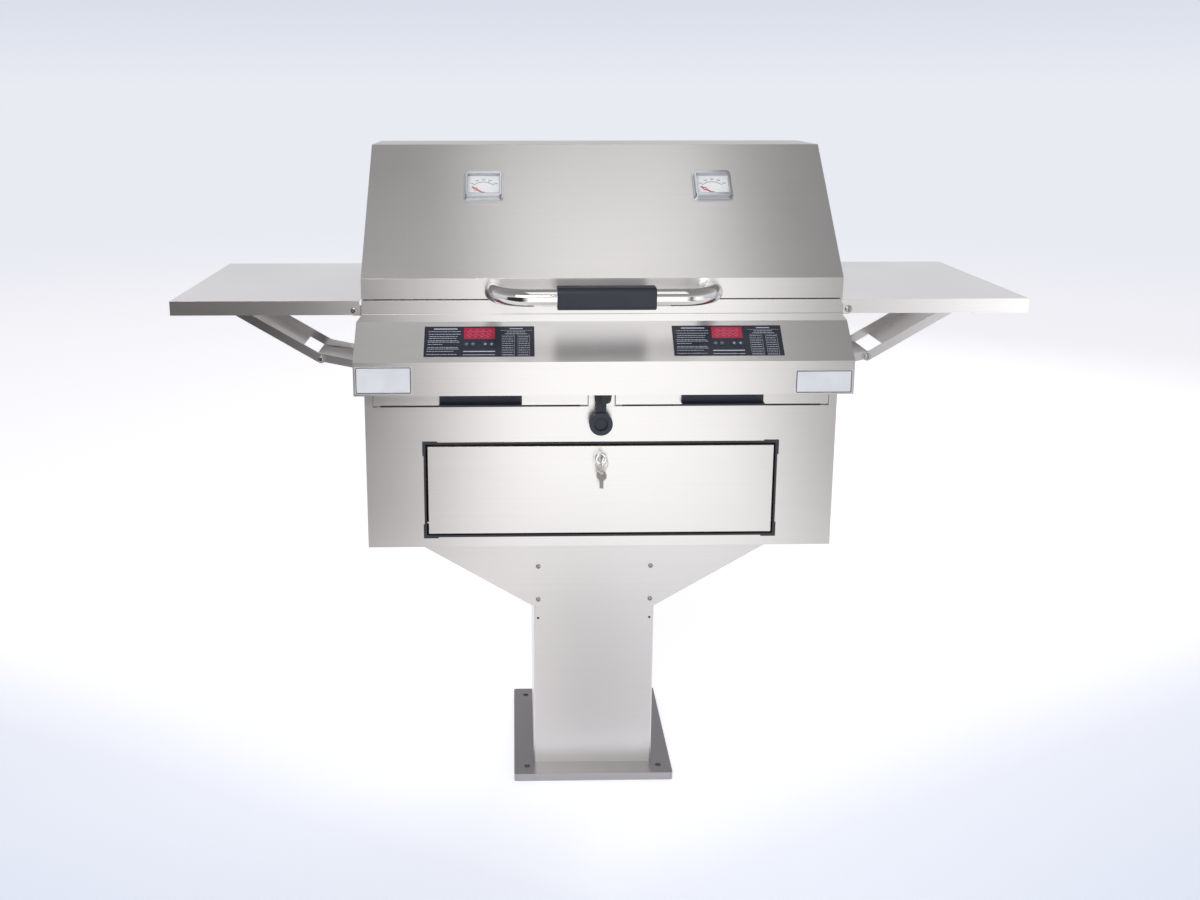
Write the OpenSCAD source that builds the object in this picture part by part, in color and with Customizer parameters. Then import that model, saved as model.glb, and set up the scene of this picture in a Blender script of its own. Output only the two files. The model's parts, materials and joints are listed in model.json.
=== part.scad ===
// Park grill pedestal: a lidded two-zone electric grill with drop-down side shelves,
// on a cabinet, a flared saddle, a square column and a bolted base plate.
// Millimetres. X runs to the right, the front faces -Y, Z is up.
// The origin is on the floor, in the middle of the anchor bolt pattern.

/* [Base and column] */
// Side of the square base plate
plate_w = 304.8; // [300:0.1:360]
// Thickness of the base plate
plate_t = 15; // [10:1:25]
// Corner radius of the base plate
plate_r = 4; // [2:1:10]
// Distance from a plate edge to the anchor hole centres
bolt_edge = 25.4; // [18:0.1:27]
// Radius of the anchor bolt holes
bolt_hole_r = 5.5; // [4:0.1:7]
// Width of the square column
column_w = 228.6; // [210:0.1:232]
// Wall of the column
column_wall = 3; // [2:0.5:3.5]
// Outer corner radius of the column
column_r = 4; // [4:1:10]
// Height of the saddle's lower edge above the floor
saddle_z = 344; // [320:1:400]
// Sheet of the saddle
saddle_t = 2; // [1:0.5:3]
// Height of the cable gland in the rear of the column
gland_z = 70; // [50:1:200]
// Clear bore of the cable gland, as a radius
gland_bore_r = 6; // [4:0.5:7]

/* [Cabinet] */
// Height of the cabinet's underside above the floor
cabinet_z = 516; // [480:1:560]
// Width of the cabinet and the firebox
body_w = 813; // [780:1:860]
// Depth of the cabinet and the firebox
body_d = 470; // [450:1:500]
// Height of the cabinet
cabinet_h = 255; // [240:1:300]
// Sheet of the cabinet and the firebox
sheet = 2; // [1:0.5:2.5]
// Width of the door leaf
door_w = 600; // [400:1:680]
// Height of the door leaf
door_h = 158.8; // [120:0.1:170]
// Height of the leaf's lower edge above the cabinet's underside
door_rise = 25.6; // [20:0.1:40]
// Depth of the leaf's folded edges behind the cabinet's front
door_d = 14; // [12:1:20]
// Running gap all round the leaf
door_gap = 3.5; // [3.2:0.1:6]
// Width of the gasket in the opening
gasket_w = 3.7; // [2:0.1:6]
// Height of the door pins above the leaf's lower edge
door_pin_rise = 17; // [14:1:30]
// Depth of the door pins behind the cabinet's front
door_pin_set = 8; // [6:0.5:9]
// Radius of the door pins
door_pin_r = 3; // [2:0.1:3.5]
// Distance of the lock below the leaf's upper edge
lock_drop = 22.4; // [18:0.1:30]
// Radius of the lock's face
lock_face_r = 10; // [9:0.5:13]
// Radius of the turning lock plug
plug_r = 5.5; // [5:0.1:6]
// Length of the lock's cam
cam_l = 40; // [36:1:50]
// Radius of the key's bow
key_bow_r = 13; // [11:0.5:14]
// Radius of the key ring, to the middle of its wire
ring_r = 13; // [12.5:0.5:15]

/* [Trays] */
// Height of each grease tray
tray_h = 26; // [20:1:27]
// Height of the tray floor above the cabinet's top
tray_rise = 3; // [2:0.5:5]
// Distance of each tray's inner side from the middle
tray_in = 24; // [20:1:60]
// Distance from the body's side to each tray
tray_side = 15.5; // [10:0.5:40]
// Distance from the body's back to each tray
tray_back = 35; // [20:1:100]
// Wall of the trays
tray_wall = 1.5; // [1:0.1:2]
// Width of each tray pull
pull_w = 141; // [80:1:200]
// Height of each tray pull
pull_h = 19; // [15:1:20]
// Reach of each pull in front of the tray
pull_reach = 18; // [10:1:25]
// Thickness of the pulls
pull_t = 3; // [2:0.5:4]

/* [Firebox and grates] */
// Height of the firebox, rim included
firebox_h = 187; // [180:1:230]
// Height of the raised band round the rim's front
rim_h = 23; // [20:1:30]
// Distance that the band stands proud
rim_proud = 2; // [1:0.5:3]
// Distance of the grate's top below the rim
grate_drop = 23; // [15:1:35]
// Thickness of the grates
grate_t = 8; // [5:1:12]
// Bars across each grate, inside its frame
grate_bars = 16; // [8:1:20]
// Distance of the heating elements below the rim
element_drop = 53; // [45:1:60]
// Radius of the heating element tube
element_r = 4; // [3:0.5:5]
// Distance from the back of the firebox to the wind guard
guard_set = 45; // [42:1:60]
// Height of the wind guard above the rim
guard_h = 60; // [40:1:66]

/* [Control housing] */
// Distance that the housing stands out past each side of the body
housing_over = 9.5; // [1.5:0.5:11.5]
// Distance that the housing stands in front of the firebox
housing_d = 58; // [52:1:70]
// Sheet of the housing
housing_t = 1.5; // [1:0.1:2]
// Height of the strip between the rim band and the sloping panel
riser_h = 12.3; // [8:0.1:16]
// Gap between the rim band and that strip
riser_gap = 1.5; // [1:0.1:3]
// Height that the sloping panel drops
panel_drop = 56.6; // [50:0.1:60]
// Height of the housing's upright face
face_h = 57.3; // [50:0.1:60]
// Width of each printed overlay
overlay_w = 184; // [150:1:200]
// Length of each overlay down the slope
overlay_l = 59; // [56:1:62]
// Distance from the slope's top edge to the overlays
overlay_top = 10; // [6:1:12]
// Distance of the overlays' centres from the middle
overlay_x = 208; // [180:1:220]
// Width of each numeric display
display_w = 52; // [40:1:60]
// Height of each numeric display
display_l = 21.8; // [16:0.1:24]
// Radius of the push buttons
button_r = 4.25; // [3:0.05:4.3]
// Travel of the push buttons
button_travel = 1.2; // [0.8:0.1:1.4]
// Width of the left label plate
label_left_w = 93; // [60:1:120]
// Height of the left label plate
label_left_h = 46.3; // [30:0.1:50]
// Width of the right label plate
label_right_w = 94.6; // [60:1:120]
// Height of the right label plate
label_right_h = 39.6; // [30:0.1:50]
// Radius of the power inlet's collar
collar_r = 16; // [15:0.5:18]
// Length of the collar below the housing
collar_h = 18.3; // [12:0.1:22]
// Radius of the inlet's rubber cap
cap_r = 20; // [17:0.5:21]
// Length of the cap's strap, hinge to disc centre
strap_l = 41; // [38:1:50]

/* [Lid] */
// Gap between the rim and the lid
lid_gap = 2; // [1.5:0.1:2.5]
// Height of the lid's upright front lip
lid_lip_h = 35; // [32:1:45]
// Height of the whole lid
lid_h = 248; // [220:1:280]
// Distance from the lip to the top's front edge
lid_slope_d = 197; // [170:1:210]
// Depth of the lid's flat top
lid_top_d = 146; // [120:1:170]
// Height of the lid's rear upper edge below its top
lid_back_drop = 118; // [100:1:130]
// Height of the opening at the back of the lid
lid_back_open = 67; // [66:1:80]
// Sheet of the lid
lid_t = 2; // [1:0.5:3]
// Distance of the lid's hinge from the back
hinge_set = 30; // [28:1:31]
// Height of the lid's hinge above the lid's lower edge
hinge_rise = 15; // [14:1:16]
// Radius of the lid's hinge pins
hinge_pin_r = 5; // [3:0.5:6]
// Radius of the handle tube
handle_r = 14.3; // [12:0.1:16]
// Wall of the handle tube
handle_wall = 2; // [1.5:0.5:4]
// Reach of the handle in front of the lip
handle_reach = 70; // [66:1:90]
// Width of the handle over its tube
handle_w = 398; // [300:1:480]
// Bend radius of the handle, to the middle of the tube
bend_r = 60; // [40:1:62]
// Length of the grip
grip_w = 160; // [100:1:200]
// Height and depth of the grip
grip_h = 37; // [34:1:44]
// Distance of the gauges from the middle
gauge_x = 203; // [150:1:250]
// Distance of the gauges up the slope
gauge_up = 193.6; // [100:0.1:220]
// Width of the gauge bezels
gauge_w = 69; // [64:1:80]
// Height of the gauge bezels
gauge_l = 60; // [54:1:70]
// Thickness of the gauges
gauge_t = 12; // [11:0.5:18]

/* [Shelves] */
// Length of each shelf, outward
shelf_l = 319; // [310:1:400]
// Depth of each shelf, front to back
shelf_d = 404; // [300:1:420]
// Distance of the shelf's front behind the body's front
shelf_set = 7; // [4:1:30]
// Distance of the shelf's top below the rim
shelf_drop = 2; // [0:0.5:10]
// Height of the shelf's lip
lip_h = 24.5; // [22:0.1:30]
// Sheet of the shelf
shelf_t = 1.2; // [1:0.1:2]
// Distance of the shelf's pivot out from the body's side
pivot_out = 13.5; // [13:0.1:16]
// Distance of the shelf's pivot below the shelf's top
pivot_drop = 17; // [16:0.5:18]
// Distance from the pivot in to the shelf's inner edge
pivot_in = 9; // [6:0.5:9]
// Distance of the long arm's pin out from the shelf's pivot
arm_out = 292; // [280:1:296]
// Height of the long arm's pin above the shelf's pivot
arm_up = 6; // [5:0.1:7]
// Distance of the knee out from the body's side
knee_out = 97.5; // [90:0.5:105]
// Distance of the knee below the shelf's pivot
knee_drop = 119; // [112:1:126]
// Distance of the short arm's foot out from the body's side
foot_out = 11.5; // [11.5:0.1:14]
// Distance of the short arm's foot below the shelf's pivot
foot_drop = 137; // [130:1:140]
// Width of the brace arms over the long arm
brace_w = 123; // [80:1:200]
// Sheet of the brace arms
arm_t = 2; // [1.5:0.5:2.5]
// Height of the long arm
arm_h = 16.3; // [16:0.1:18]
// Radius of the shelf and brace bolts
pivot_r = 3; // [2:0.1:3.5]
// Radius of their heads
pivot_head_r = 6; // [5:0.5:7]

/* [Hidden] */
$fn = 48;

// Overrun of every cut, running gap, fit of a pin in its hole, and loose fit of a screw
cut = 1;
gap = 0.3;
fit = 0.05;
loose = 0.1;

// Body planes and levels
front = -body_d / 2;
back = body_d / 2;
side_x = body_w / 2;
housing_w = body_w + 2 * housing_over;
deck_z = cabinet_z + cabinet_h;
rim_z = deck_z + firebox_h;
band_z = rim_z - rim_h;

// Base plate and column
bolt_at = plate_w / 2 - bolt_edge;
seam_w = 1;
seam_deep = 0.6;
seam_at = plate_w / 2 - plate_r - seam_w;
column_h = cabinet_z - plate_t;
column_face = column_w / 2;

// Block between two opposite corners
module span(a, b) { translate(a) cube(b - a); }

// Rounded rectangle centred on the origin
module rounded(size, r) {
    square([size[0] - 2 * r, size[1]], center = true);
    square([size[0], size[1] - 2 * r], center = true);
    for (x = [-1, 1], y = [-1, 1])
        translate([x * (size[0] / 2 - r), y * (size[1] / 2 - r)]) circle(r);
}

// A drawing of depth and height, drawn out along X about the middle
module along_x(w) { rotate([90, 0, 90]) linear_extrude(w, center = true) children(); }

// A drawing of width and height, drawn out along Y from one plane to another
module along_y(y0, y1) { translate([0, y1, 0]) rotate([90, 0, 0]) linear_extrude(y1 - y0) children(); }

// Round rods along the axes
module rod_x(r, x0, x1, y, z) { translate([x0, y, z]) rotate([0, 90, 0]) cylinder(r = r, h = x1 - x0); }
module rod_y(r, y0, y1, x, z) { translate([x, y0, z]) rotate([-90, 0, 0]) cylinder(r = r, h = y1 - y0); }

// The same shape on both sides, or on the left (-1) or the right (1) side
module both_sides() {
    children();
    mirror([1, 0, 0]) children();
}
module on_side(s) { mirror([s < 0 ? 1 : 0, 0, 0]) children(); }

// Base plate
module base_plate() {
    color("silver") difference() {
        linear_extrude(plate_t) rounded([plate_w, plate_w], plate_r);
        for (x = [-1, 1], y = [-1, 1]) {
            translate([x * bolt_at, y * bolt_at, -cut]) cylinder(r = bolt_hole_r, h = plate_t + 2 * cut);
            translate([x * seam_at, y * plate_w / 2, plate_t / 2])
                cube([seam_w, 2 * seam_deep, plate_t + 2 * cut], center = true);
        }
    }
}

// Places on the column's front and rear faces: two rows of screws on the saddle, one of rivets below it
screw_r = 2.9;
screw_head_r = 4.5;
screw_head_h = 2.6;
screw_l = 14;
screw_edge = 8.3;
screw_rows = [13, 79.5];
rivet_r = 1.6;
rivet_head_r = 2.3;
rivet_head_h = 1.2;
rivet_l = 8;
rivet_drop = 26;
screw_x = column_face - screw_edge;
module at_column(levels) {
    for (m = [0, 1], x = [-screw_x, screw_x], z = levels)
        mirror([0, m, 0]) translate([x, -column_face, z]) rotate([90, 0, 0]) children();
}
screw_levels = [for (rise = screw_rows) saddle_z + rise];
rivet_levels = [saddle_z - rivet_drop];

// Square column, with the holes that its screws, rivets and gland need
module column() {
    color("gainsboro") difference() {
        translate([0, 0, plate_t]) linear_extrude(column_h) difference() {
            rounded([column_w, column_w], column_r);
            rounded([column_w - 2 * column_wall, column_w - 2 * column_wall], column_r - column_wall);
        }
        at_column(screw_levels) translate([0, 0, -column_wall - cut])
            cylinder(r = screw_r + loose, h = column_wall + 2 * cut);
        at_column(rivet_levels) translate([0, 0, -column_wall - cut])
            cylinder(r = rivet_r + loose, h = column_wall + 2 * cut);
        rod_y(gland_thread_r + loose, column_face - column_wall - cut, column_face + cut, 0, gland_z);
    }
}

// Front and rear plates of the saddle: from the column's width out to the cabinet's
module saddle_plates() {
    half = column_face + saddle_t;
    color("gainsboro") difference() {
        for (m = [0, 1]) mirror([0, m, 0]) along_y(-column_face - saddle_t, -column_face)
            polygon([[-half, saddle_z], [half, saddle_z], [side_x, cabinet_z], [-side_x, cabinet_z]]);
        at_column(screw_levels) translate([0, 0, -cut]) cylinder(r = screw_r + loose, h = saddle_t + 2 * cut);
    }
}

// Sloping sheets that close the saddle's sides, each with a short tab down the column
module saddle_cheeks() {
    foot = column_face + saddle_t;
    run = side_x - foot;
    rise = cabinet_z - saddle_z;
    flat_t = saddle_t * norm([run, rise]) / rise;
    color("lightgray") both_sides() along_y(-column_face, column_face) polygon([
        [column_face, saddle_z], [foot, saddle_z], [side_x, cabinet_z], [side_x - flat_t, cabinet_z],
        [column_face, saddle_z + (flat_t - saddle_t) * rise / run]
    ]);
}

// Pan head screw or rivet standing on z = 0, its shank going down
module pan_fixing(r, l, head_r, head_h) {
    crown_r = (r + head_r) / 2;
    translate([0, 0, -l]) cylinder(r = r, h = l);
    cylinder(r = head_r, h = head_h / 2);
    translate([0, 0, head_h / 2]) cylinder(r1 = head_r, r2 = crown_r, h = head_h / 2);
}
housing_screw_z = 17;
housing_screw_y = 8;
housing_screw_l = 8;
module at_housing_side() {
    both_sides() translate([housing_w / 2, housing_face + housing_screw_y, housing_z + housing_screw_z])
        rotate([0, 90, 0]) children();
}
module pan_screws() {
    color("white") {
        at_column(screw_levels) translate([0, 0, saddle_t])
            pan_fixing(screw_r, screw_l, screw_head_r, screw_head_h);
        at_column(rivet_levels) pan_fixing(rivet_r, rivet_l, rivet_head_r, rivet_head_h);
        at_housing_side() pan_fixing(rivet_r, housing_screw_l, rivet_head_r, rivet_head_h);
    }
}

// Cable gland in the column's rear: a flanged body with a dome nut outside and a lock nut inside
gland_thread_r = 10;
gland_hex_r = 15;
gland_hex_h = 6;
gland_dome_r = 12;
gland_dome_h = 14;
gland_nut_h = 5;
gland_tail = 4;
gland_inner_l = gland_nut_h + gland_tail;
module cable_gland() {
    color("dimgray") translate([0, column_face, gland_z]) rotate([-90, 0, 0]) {
        difference() {
            union() {
                translate([0, 0, -column_wall - gland_inner_l])
                    cylinder(r = gland_thread_r, h = column_wall + gland_inner_l);
                cylinder(r = gland_hex_r, h = gland_hex_h, $fn = 6);
                translate([0, 0, gland_hex_h]) cylinder(r = gland_dome_r, h = gland_dome_h / 2);
                translate([0, 0, gland_hex_h + gland_dome_h / 2])
                    cylinder(r1 = gland_dome_r, r2 = gland_thread_r, h = gland_dome_h / 2);
            }
            translate([0, 0, -column_wall - gland_inner_l - cut])
                cylinder(r = gland_bore_r,
                    h = column_wall + gland_inner_l + gland_hex_h + gland_dome_h + 2 * cut);
        }
        difference() {
            translate([0, 0, -column_wall - gland_nut_h]) cylinder(r = gland_hex_r, h = gland_nut_h, $fn = 6);
            translate([0, 0, -column_wall - gland_nut_h - cut])
                cylinder(r = gland_thread_r + fit, h = gland_nut_h + 2 * cut);
        }
    }
}

// Cabinet shell: floor, sides, back and top, open at the front, with a wiring hole over the column
wire_hole_r = 20;
module cabinet_shell() {
    color("silver") difference() {
        span([-side_x, front + sheet, cabinet_z], [side_x, back, deck_z]);
        span([-side_x + sheet, front + sheet - cut, cabinet_z + sheet],
                [side_x - sheet, back - sheet, deck_z - sheet]);
        translate([0, 0, cabinet_z - cut]) cylinder(r = wire_hole_r, h = sheet + 2 * cut);
    }
}

// Door places: leaf, opening, pins and lock
door_z = cabinet_z + door_rise;
door_top = door_z + door_h;
door_edge = door_w / 2;
open_x = door_edge + door_gap + gasket_w;
open_z = door_z - door_gap - gasket_w;
open_top = door_top + door_gap + gasket_w;
door_pin_y = front + door_pin_set;
door_pin_z = door_z + door_pin_rise;
lock_z = door_top - lock_drop;
lug_t = 6;
lug_r = 7;
keeper_w = 40;
keeper_h = 14;
cam_gap = 0.5;
cam_t = 2.5;
plug_tail = 2;
cam_y = front + door_d + plug_tail;

// Cabinet front: panel round the door opening, pin lugs behind its jambs and the keeper for the cam
module cabinet_front() {
    color("silver") {
        difference() {
            span([-side_x, front, cabinet_z], [side_x, front + sheet, deck_z]);
            span([-open_x, front - cut, open_z], [open_x, front + sheet + cut, open_top]);
        }
        both_sides() difference() {
            span([open_x, front + sheet, door_pin_z - lug_r],
                    [open_x + lug_t, door_pin_y + lug_r, door_pin_z + lug_r]);
            rod_x(door_pin_r + fit, open_x - cut, open_x + lug_t + cut, door_pin_y, door_pin_z);
        }
        span([-keeper_w / 2, front + sheet, open_top], [keeper_w / 2, cam_y - cam_gap, open_top + keeper_h]);
    }
}

// Door leaf: a folded tray of sheet, its skin proud of the panel, drilled for the pins and the lock
module door() {
    color("silver") difference() {
        span([-door_edge, front - sheet, door_z], [door_edge, front + door_d, door_top]);
        span([-door_edge + sheet, front, door_z + sheet],
                [door_edge - sheet, front + door_d + cut, door_top - sheet]);
        rod_x(door_pin_r + fit, -door_edge - cut, door_edge + cut, door_pin_y, door_pin_z);
        rod_y(lock_barrel_r + loose, front - sheet - cut, front + cut, 0, lock_z);
    }
}

// Gasket in the opening, with a wider proud pad at each corner
gasket_proud = 1;
pad_l = 24;
pad_w = 2;
module door_gasket() {
    w = open_x;
    mid = (open_z + open_top) / 2;
    color("dimgray") {
        difference() {
            span([-w, front - gasket_proud, open_z], [w, front + sheet + gasket_proud, open_top]);
            span([-w + gasket_w, front - gasket_proud - cut, open_z + gasket_w],
                 [w - gasket_w, front + sheet + gasket_proud + cut, open_top - gasket_w]);
        }
        for (m = [0, 1], s = [-1, 1])
            mirror([m, 0, 0]) translate([w, 0, mid + s * (open_top - mid)]) difference() {
            span([-pad_l, front - gasket_proud, s > 0 ? -pad_l : -pad_w],
                    [pad_w, front, s > 0 ? pad_w : pad_l]);
            span([-pad_l - cut, front - gasket_proud - cut, s > 0 ? -pad_l - cut : 0],
                 [0, front + cut, s > 0 ? 0 : pad_l + cut]);
        }
    }
}

// Hinge pins through the leaf's ends into the jamb lugs
pin_tail = 6;
module door_hinge_pins() {
    color("darkgray") both_sides()
        rod_x(door_pin_r, door_edge - sheet - pin_tail, open_x + lug_t, door_pin_y, door_pin_z);
}

// Lock: flanged barrel, plug with its cam, key in the plug, split ring and spare key
lock_barrel_r = 8;
lock_face_t = 4;
lock_fit = 0.08;
key_t = 2.4;
key_hole_r = 2.8;
key_hole_up = 9;
key_hole_set = 2;
blade_h = 7.3;
blade_in = 16;
wire_r = 0.9;
ring_turn = 30;
spare_turn = 35;
spare_bow_r = 9.5;
spare_hole_up = 5;
spare_l = 14;
cam_w = 12;
lock_face = front - sheet - lock_face_t;
module lock_body() {
    color("white") difference() {
        union() {
            rod_y(lock_face_r, lock_face, front - sheet, 0, lock_z);
            rod_y(lock_barrel_r, front - sheet - cut, front + door_d, 0, lock_z);
        }
        rod_y(plug_r + lock_fit, lock_face - cut, front + door_d + cut, 0, lock_z);
    }
}
module lock_plug() {
    color("lightgray") {
        difference() {
            rod_y(plug_r, lock_face, cam_y, 0, lock_z);
            span([-key_t / 2 - fit, lock_face - cut, lock_z - blade_h / 2 - fit],
                 [key_t / 2 + fit, lock_face + blade_in + fit, lock_z + blade_h / 2 + fit]);
        }
        span([0, cam_y, lock_z - cam_w / 2], [cam_l, cam_y + cam_t, lock_z + cam_w / 2]);
        rod_y(cam_w / 2, cam_y, cam_y + cam_t, 0, lock_z);
    }
}
key_neck = 3;
key_bow_y = lock_face - key_neck - key_bow_r;
key_hole_y = key_bow_y + key_hole_set;
key_hole_z = lock_z + key_hole_up;
module key() {
    color("gainsboro") difference() {
        union() {
            rod_x(key_bow_r, -key_t / 2, key_t / 2, key_bow_y, lock_z);
            span([-key_t / 2, key_bow_y, lock_z - blade_h / 2],
                    [key_t / 2, lock_face + blade_in, lock_z + blade_h / 2]);
        }
        rod_x(key_hole_r, -key_t / 2 - cut, key_t / 2 + cut, key_hole_y, key_hole_z);
    }
}
ring_gap = 0.6;
wire_slack = key_hole_r - wire_r - ring_gap;
ring_z = key_hole_z - wire_slack - ring_r;
module key_ring() {
    color("white") translate([0, key_hole_y, ring_z]) rotate([0, 0, ring_turn]) rotate([90, 0, 0])
        rotate_extrude() translate([ring_r, 0]) circle(wire_r);
}
spare_hole_z = ring_z - ring_r - wire_slack;
module spare_key() {
    bow_z = -spare_hole_up;
    tip_z = bow_z - spare_bow_r - spare_l;
    color("gainsboro") translate([0, key_hole_y, spare_hole_z]) rotate([0, 0, ring_turn + spare_turn])
        difference() {
            union() {
                rod_x(spare_bow_r, -key_t / 2, key_t / 2, 0, bow_z);
                span([-key_t / 2, -blade_h / 2, tip_z], [key_t / 2, blade_h / 2, bow_z]);
            }
            rod_x(key_hole_r, -key_t / 2 - cut, key_t / 2 + cut, 0, 0);
        }
}

// Grease tray on the right or the left: a shallow pan with a front plate, drilled for its pull
tray_x0 = tray_in;
tray_x1 = side_x - tray_side;
tray_mid = (tray_x0 + tray_x1) / 2;
tray_z = deck_z + tray_rise;
tray_top = tray_z + tray_h;
rivet_at = 55;
pull_rivet_drop = 4;
pull_drop = 4;
pull_rivet_r = 2;
pull_rivet_head_r = 4;
pull_rivet_head_h = 1.5;
pull_top = tray_top - pull_drop;
pull_z = pull_top - pull_h;
pull_rivet_z = pull_top - pull_rivet_drop;
module tray(s) {
    color("silver") on_side(s) difference() {
        union() {
            difference() {
                span([tray_x0, front, tray_z], [tray_x1, back - tray_back, tray_top]);
                span([tray_x0 + tray_wall, front + tray_wall, tray_z + tray_wall],
                     [tray_x1 - tray_wall, back - tray_back - tray_wall, tray_top + cut]);
            }
            span([tray_x0, front - sheet, tray_z + tray_wall], [tray_x1, front, tray_top]);
        }
        for (x = [-rivet_at, rivet_at])
            rod_y(pull_rivet_r + loose, front - sheet - cut, front + tray_wall + cut,
                    tray_mid + x, pull_rivet_z);
    }
}
module grease_tray_left() { tray(-1); }
module grease_tray_right() { tray(1); }

// Pull of a tray: an angle with a finger ledge along its foot, and its two rivets
module tray_pull(s) {
    y0 = front - sheet - pull_t;
    color([0.12, 0.12, 0.13]) on_side(s) translate([tray_mid, 0, 0]) {
        difference() {
            union() {
                span([-pull_w / 2, y0, pull_z], [pull_w / 2, front - sheet, pull_top]);
                span([-pull_w / 2, front - sheet - pull_reach, pull_z], [pull_w / 2, y0, pull_z + pull_t]);
            }
            for (x = [-rivet_at, rivet_at])
                rod_y(pull_rivet_r + loose, y0 - cut, front - sheet + cut, x, pull_rivet_z);
        }
        for (x = [-rivet_at, rivet_at]) translate([x, y0, pull_rivet_z]) rotate([90, 0, 0])
            pan_fixing(pull_rivet_r, pull_t + sheet + tray_wall, pull_rivet_head_r, pull_rivet_head_h);
    }
}
module tray_pull_left() { tray_pull(-1); }
module tray_pull_right() { tray_pull(1); }

// Runners on the cabinet's top: a strip under each edge of a tray and an upright guide beside it
runner_w = 12;
guide_h = 16;
guide_gap = 0.5;
module tray_runners() {
    color("gray") both_sides() for (edge = [[tray_x0, 1], [tray_x1, -1]])
        translate([edge[0], 0, deck_z]) mirror([edge[1] < 0 ? 1 : 0, 0, 0]) {
            span([-guide_gap - sheet, front + 2 * sheet, 0], [runner_w, back - tray_back, tray_rise - gap]);
            span([-guide_gap - sheet, front + 2 * sheet, 0], [-guide_gap, back - tray_back, guide_h]);
        }
}

// Firebox places: grates, elements, wind guard and hinge ears
grate_top = rim_z - grate_drop;
grate_z = grate_top - grate_t;
element_z = rim_z - element_drop;
guard_y = back - guard_set;
element_side = 68.25;
element_runs = 4;
element_pitch = (side_x - 2 * element_side) / (element_runs - 1);
element_mid = side_x / 2;
run_inner = element_pitch / 2;
run_outer = run_inner + element_pitch;
element_front = 145;
element_rear = 130;
terminal_l = 10;
terminal_gap = 0.5;
ledge_w = 12.5;
slot_gap = 1.5;
hinge_y = back - hinge_set;
lid_z = rim_z + lid_gap;
hinge_z = lid_z + hinge_rise;
ear_t = 3.2;
ear_r = 10;
ear_x = side_x - sheet - gap;
guard_side = 8.5;

// Firebox: walls, front slots for the trays, divider, grate ledges, raised band, wind guard and lid ears
module firebox() {
    inner_x = side_x - sheet;
    color("silver") {
        difference() {
            span([-side_x, front, deck_z], [side_x, back, rim_z]);
            span([-inner_x, front + sheet, deck_z - cut], [inner_x, back - sheet, rim_z + cut]);
            both_sides() span([tray_x0 - slot_gap, front - cut, deck_z - cut],
                    [tray_x1 + slot_gap, front + sheet + cut, tray_top + slot_gap]);
            both_sides() for (x = [-run_outer, run_outer])
                rod_y(element_r + terminal_gap, front - cut, front + sheet + cut, element_mid + x, element_z);
        }
        span([-side_x, front - rim_proud, band_z], [side_x, front, rim_z]);
        span([-sheet / 2, front + sheet, tray_top + slot_gap], [sheet / 2, back - sheet, grate_z]);
        span([-ledge_w, front + sheet, grate_z - sheet], [ledge_w, guard_y, grate_z]);
        both_sides() span([inner_x - ledge_w, front + sheet, grate_z - sheet], [inner_x, guard_y, grate_z]);
        span([-inner_x, front + sheet, grate_z - sheet], [inner_x, front + sheet + ledge_w, grate_z]);
        span([-inner_x, guard_y - ledge_w, grate_z - sheet], [inner_x, back - sheet, grate_z]);
        span([-inner_x + guard_side, guard_y, grate_z],
                [inner_x - guard_side, guard_y + sheet, rim_z + guard_h]);
        both_sides() {
            span([ear_x, hinge_y - ear_r, band_z], [inner_x, hinge_y + ear_r, rim_z - gap]);
            difference() {
                union() {
                    span([ear_x - ear_t, hinge_y - ear_r, band_z], [ear_x, hinge_y + ear_r, hinge_z]);
                    rod_x(ear_r, ear_x - ear_t, ear_x, hinge_y, hinge_z);
                }
                rod_x(hinge_pin_r + fit, ear_x - ear_t - cut, ear_x + cut, hinge_y, hinge_z);
            }
        }
    }
}

// Heating element: a tube of four runs joined by round bends, its two ends through the firebox front
module heating_element(s) {
    color([0.25, 0.23, 0.22]) on_side(s) translate([element_mid, 0, element_z]) {
        for (x = [-run_outer, run_outer]) rod_y(element_r, front - terminal_l, element_rear, x, 0);
        for (x = [-run_inner, run_inner]) rod_y(element_r, -element_front, element_rear, x, 0);
        for (x = [-element_pitch, element_pitch]) translate([x, element_rear, 0])
            rotate_extrude(angle = 180) translate([run_inner, 0]) circle(element_r);
        translate([0, -element_front, 0]) rotate([0, 0, 180]) rotate_extrude(angle = 180)
            translate([run_inner, 0]) circle(element_r);
    }
}
module heating_element_left() { heating_element(-1); }
module heating_element_right() { heating_element(1); }

// Bars that carry the elements, from the divider to the firebox sides
clip_at = 100;
clip_w = 12;
clip_t = 3;
module element_clips() {
    color("gray") both_sides() for (y = [-clip_at, clip_at])
        span([sheet / 2, y - clip_w / 2, element_z - element_r - gap - clip_t],
             [side_x - sheet, y + clip_w / 2, element_z - element_r - gap]);
}

// Cooking grate: a flat frame with bars from front to back
grate_gap = 3.5;
grate_in = 6;
grate_frame = 8;
grate_bar = 5;
module cooking_grate(s) {
    x0 = grate_in;
    x1 = side_x - sheet - grate_gap;
    y0 = front + sheet + grate_gap;
    y1 = guard_y - grate_gap;
    pitch = (x1 - x0 - grate_frame) / (grate_bars + 1);
    color([0.2, 0.2, 0.2]) on_side(s) {
        difference() {
            span([x0, y0, grate_z], [x1, y1, grate_top]);
            span([x0 + grate_frame, y0 + grate_frame, grate_z - cut],
                    [x1 - grate_frame, y1 - grate_frame, grate_top + cut]);
        }
        for (i = [1 : grate_bars])
            translate([x0 + grate_frame / 2 + i * pitch, 0, 0])
                span([-grate_bar / 2, y0 + grate_frame, grate_z],
                        [grate_bar / 2, y1 - grate_frame, grate_top]);
    }
}
module cooking_grate_left() { cooking_grate(-1); }
module cooking_grate_right() { cooking_grate(1); }

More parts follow.
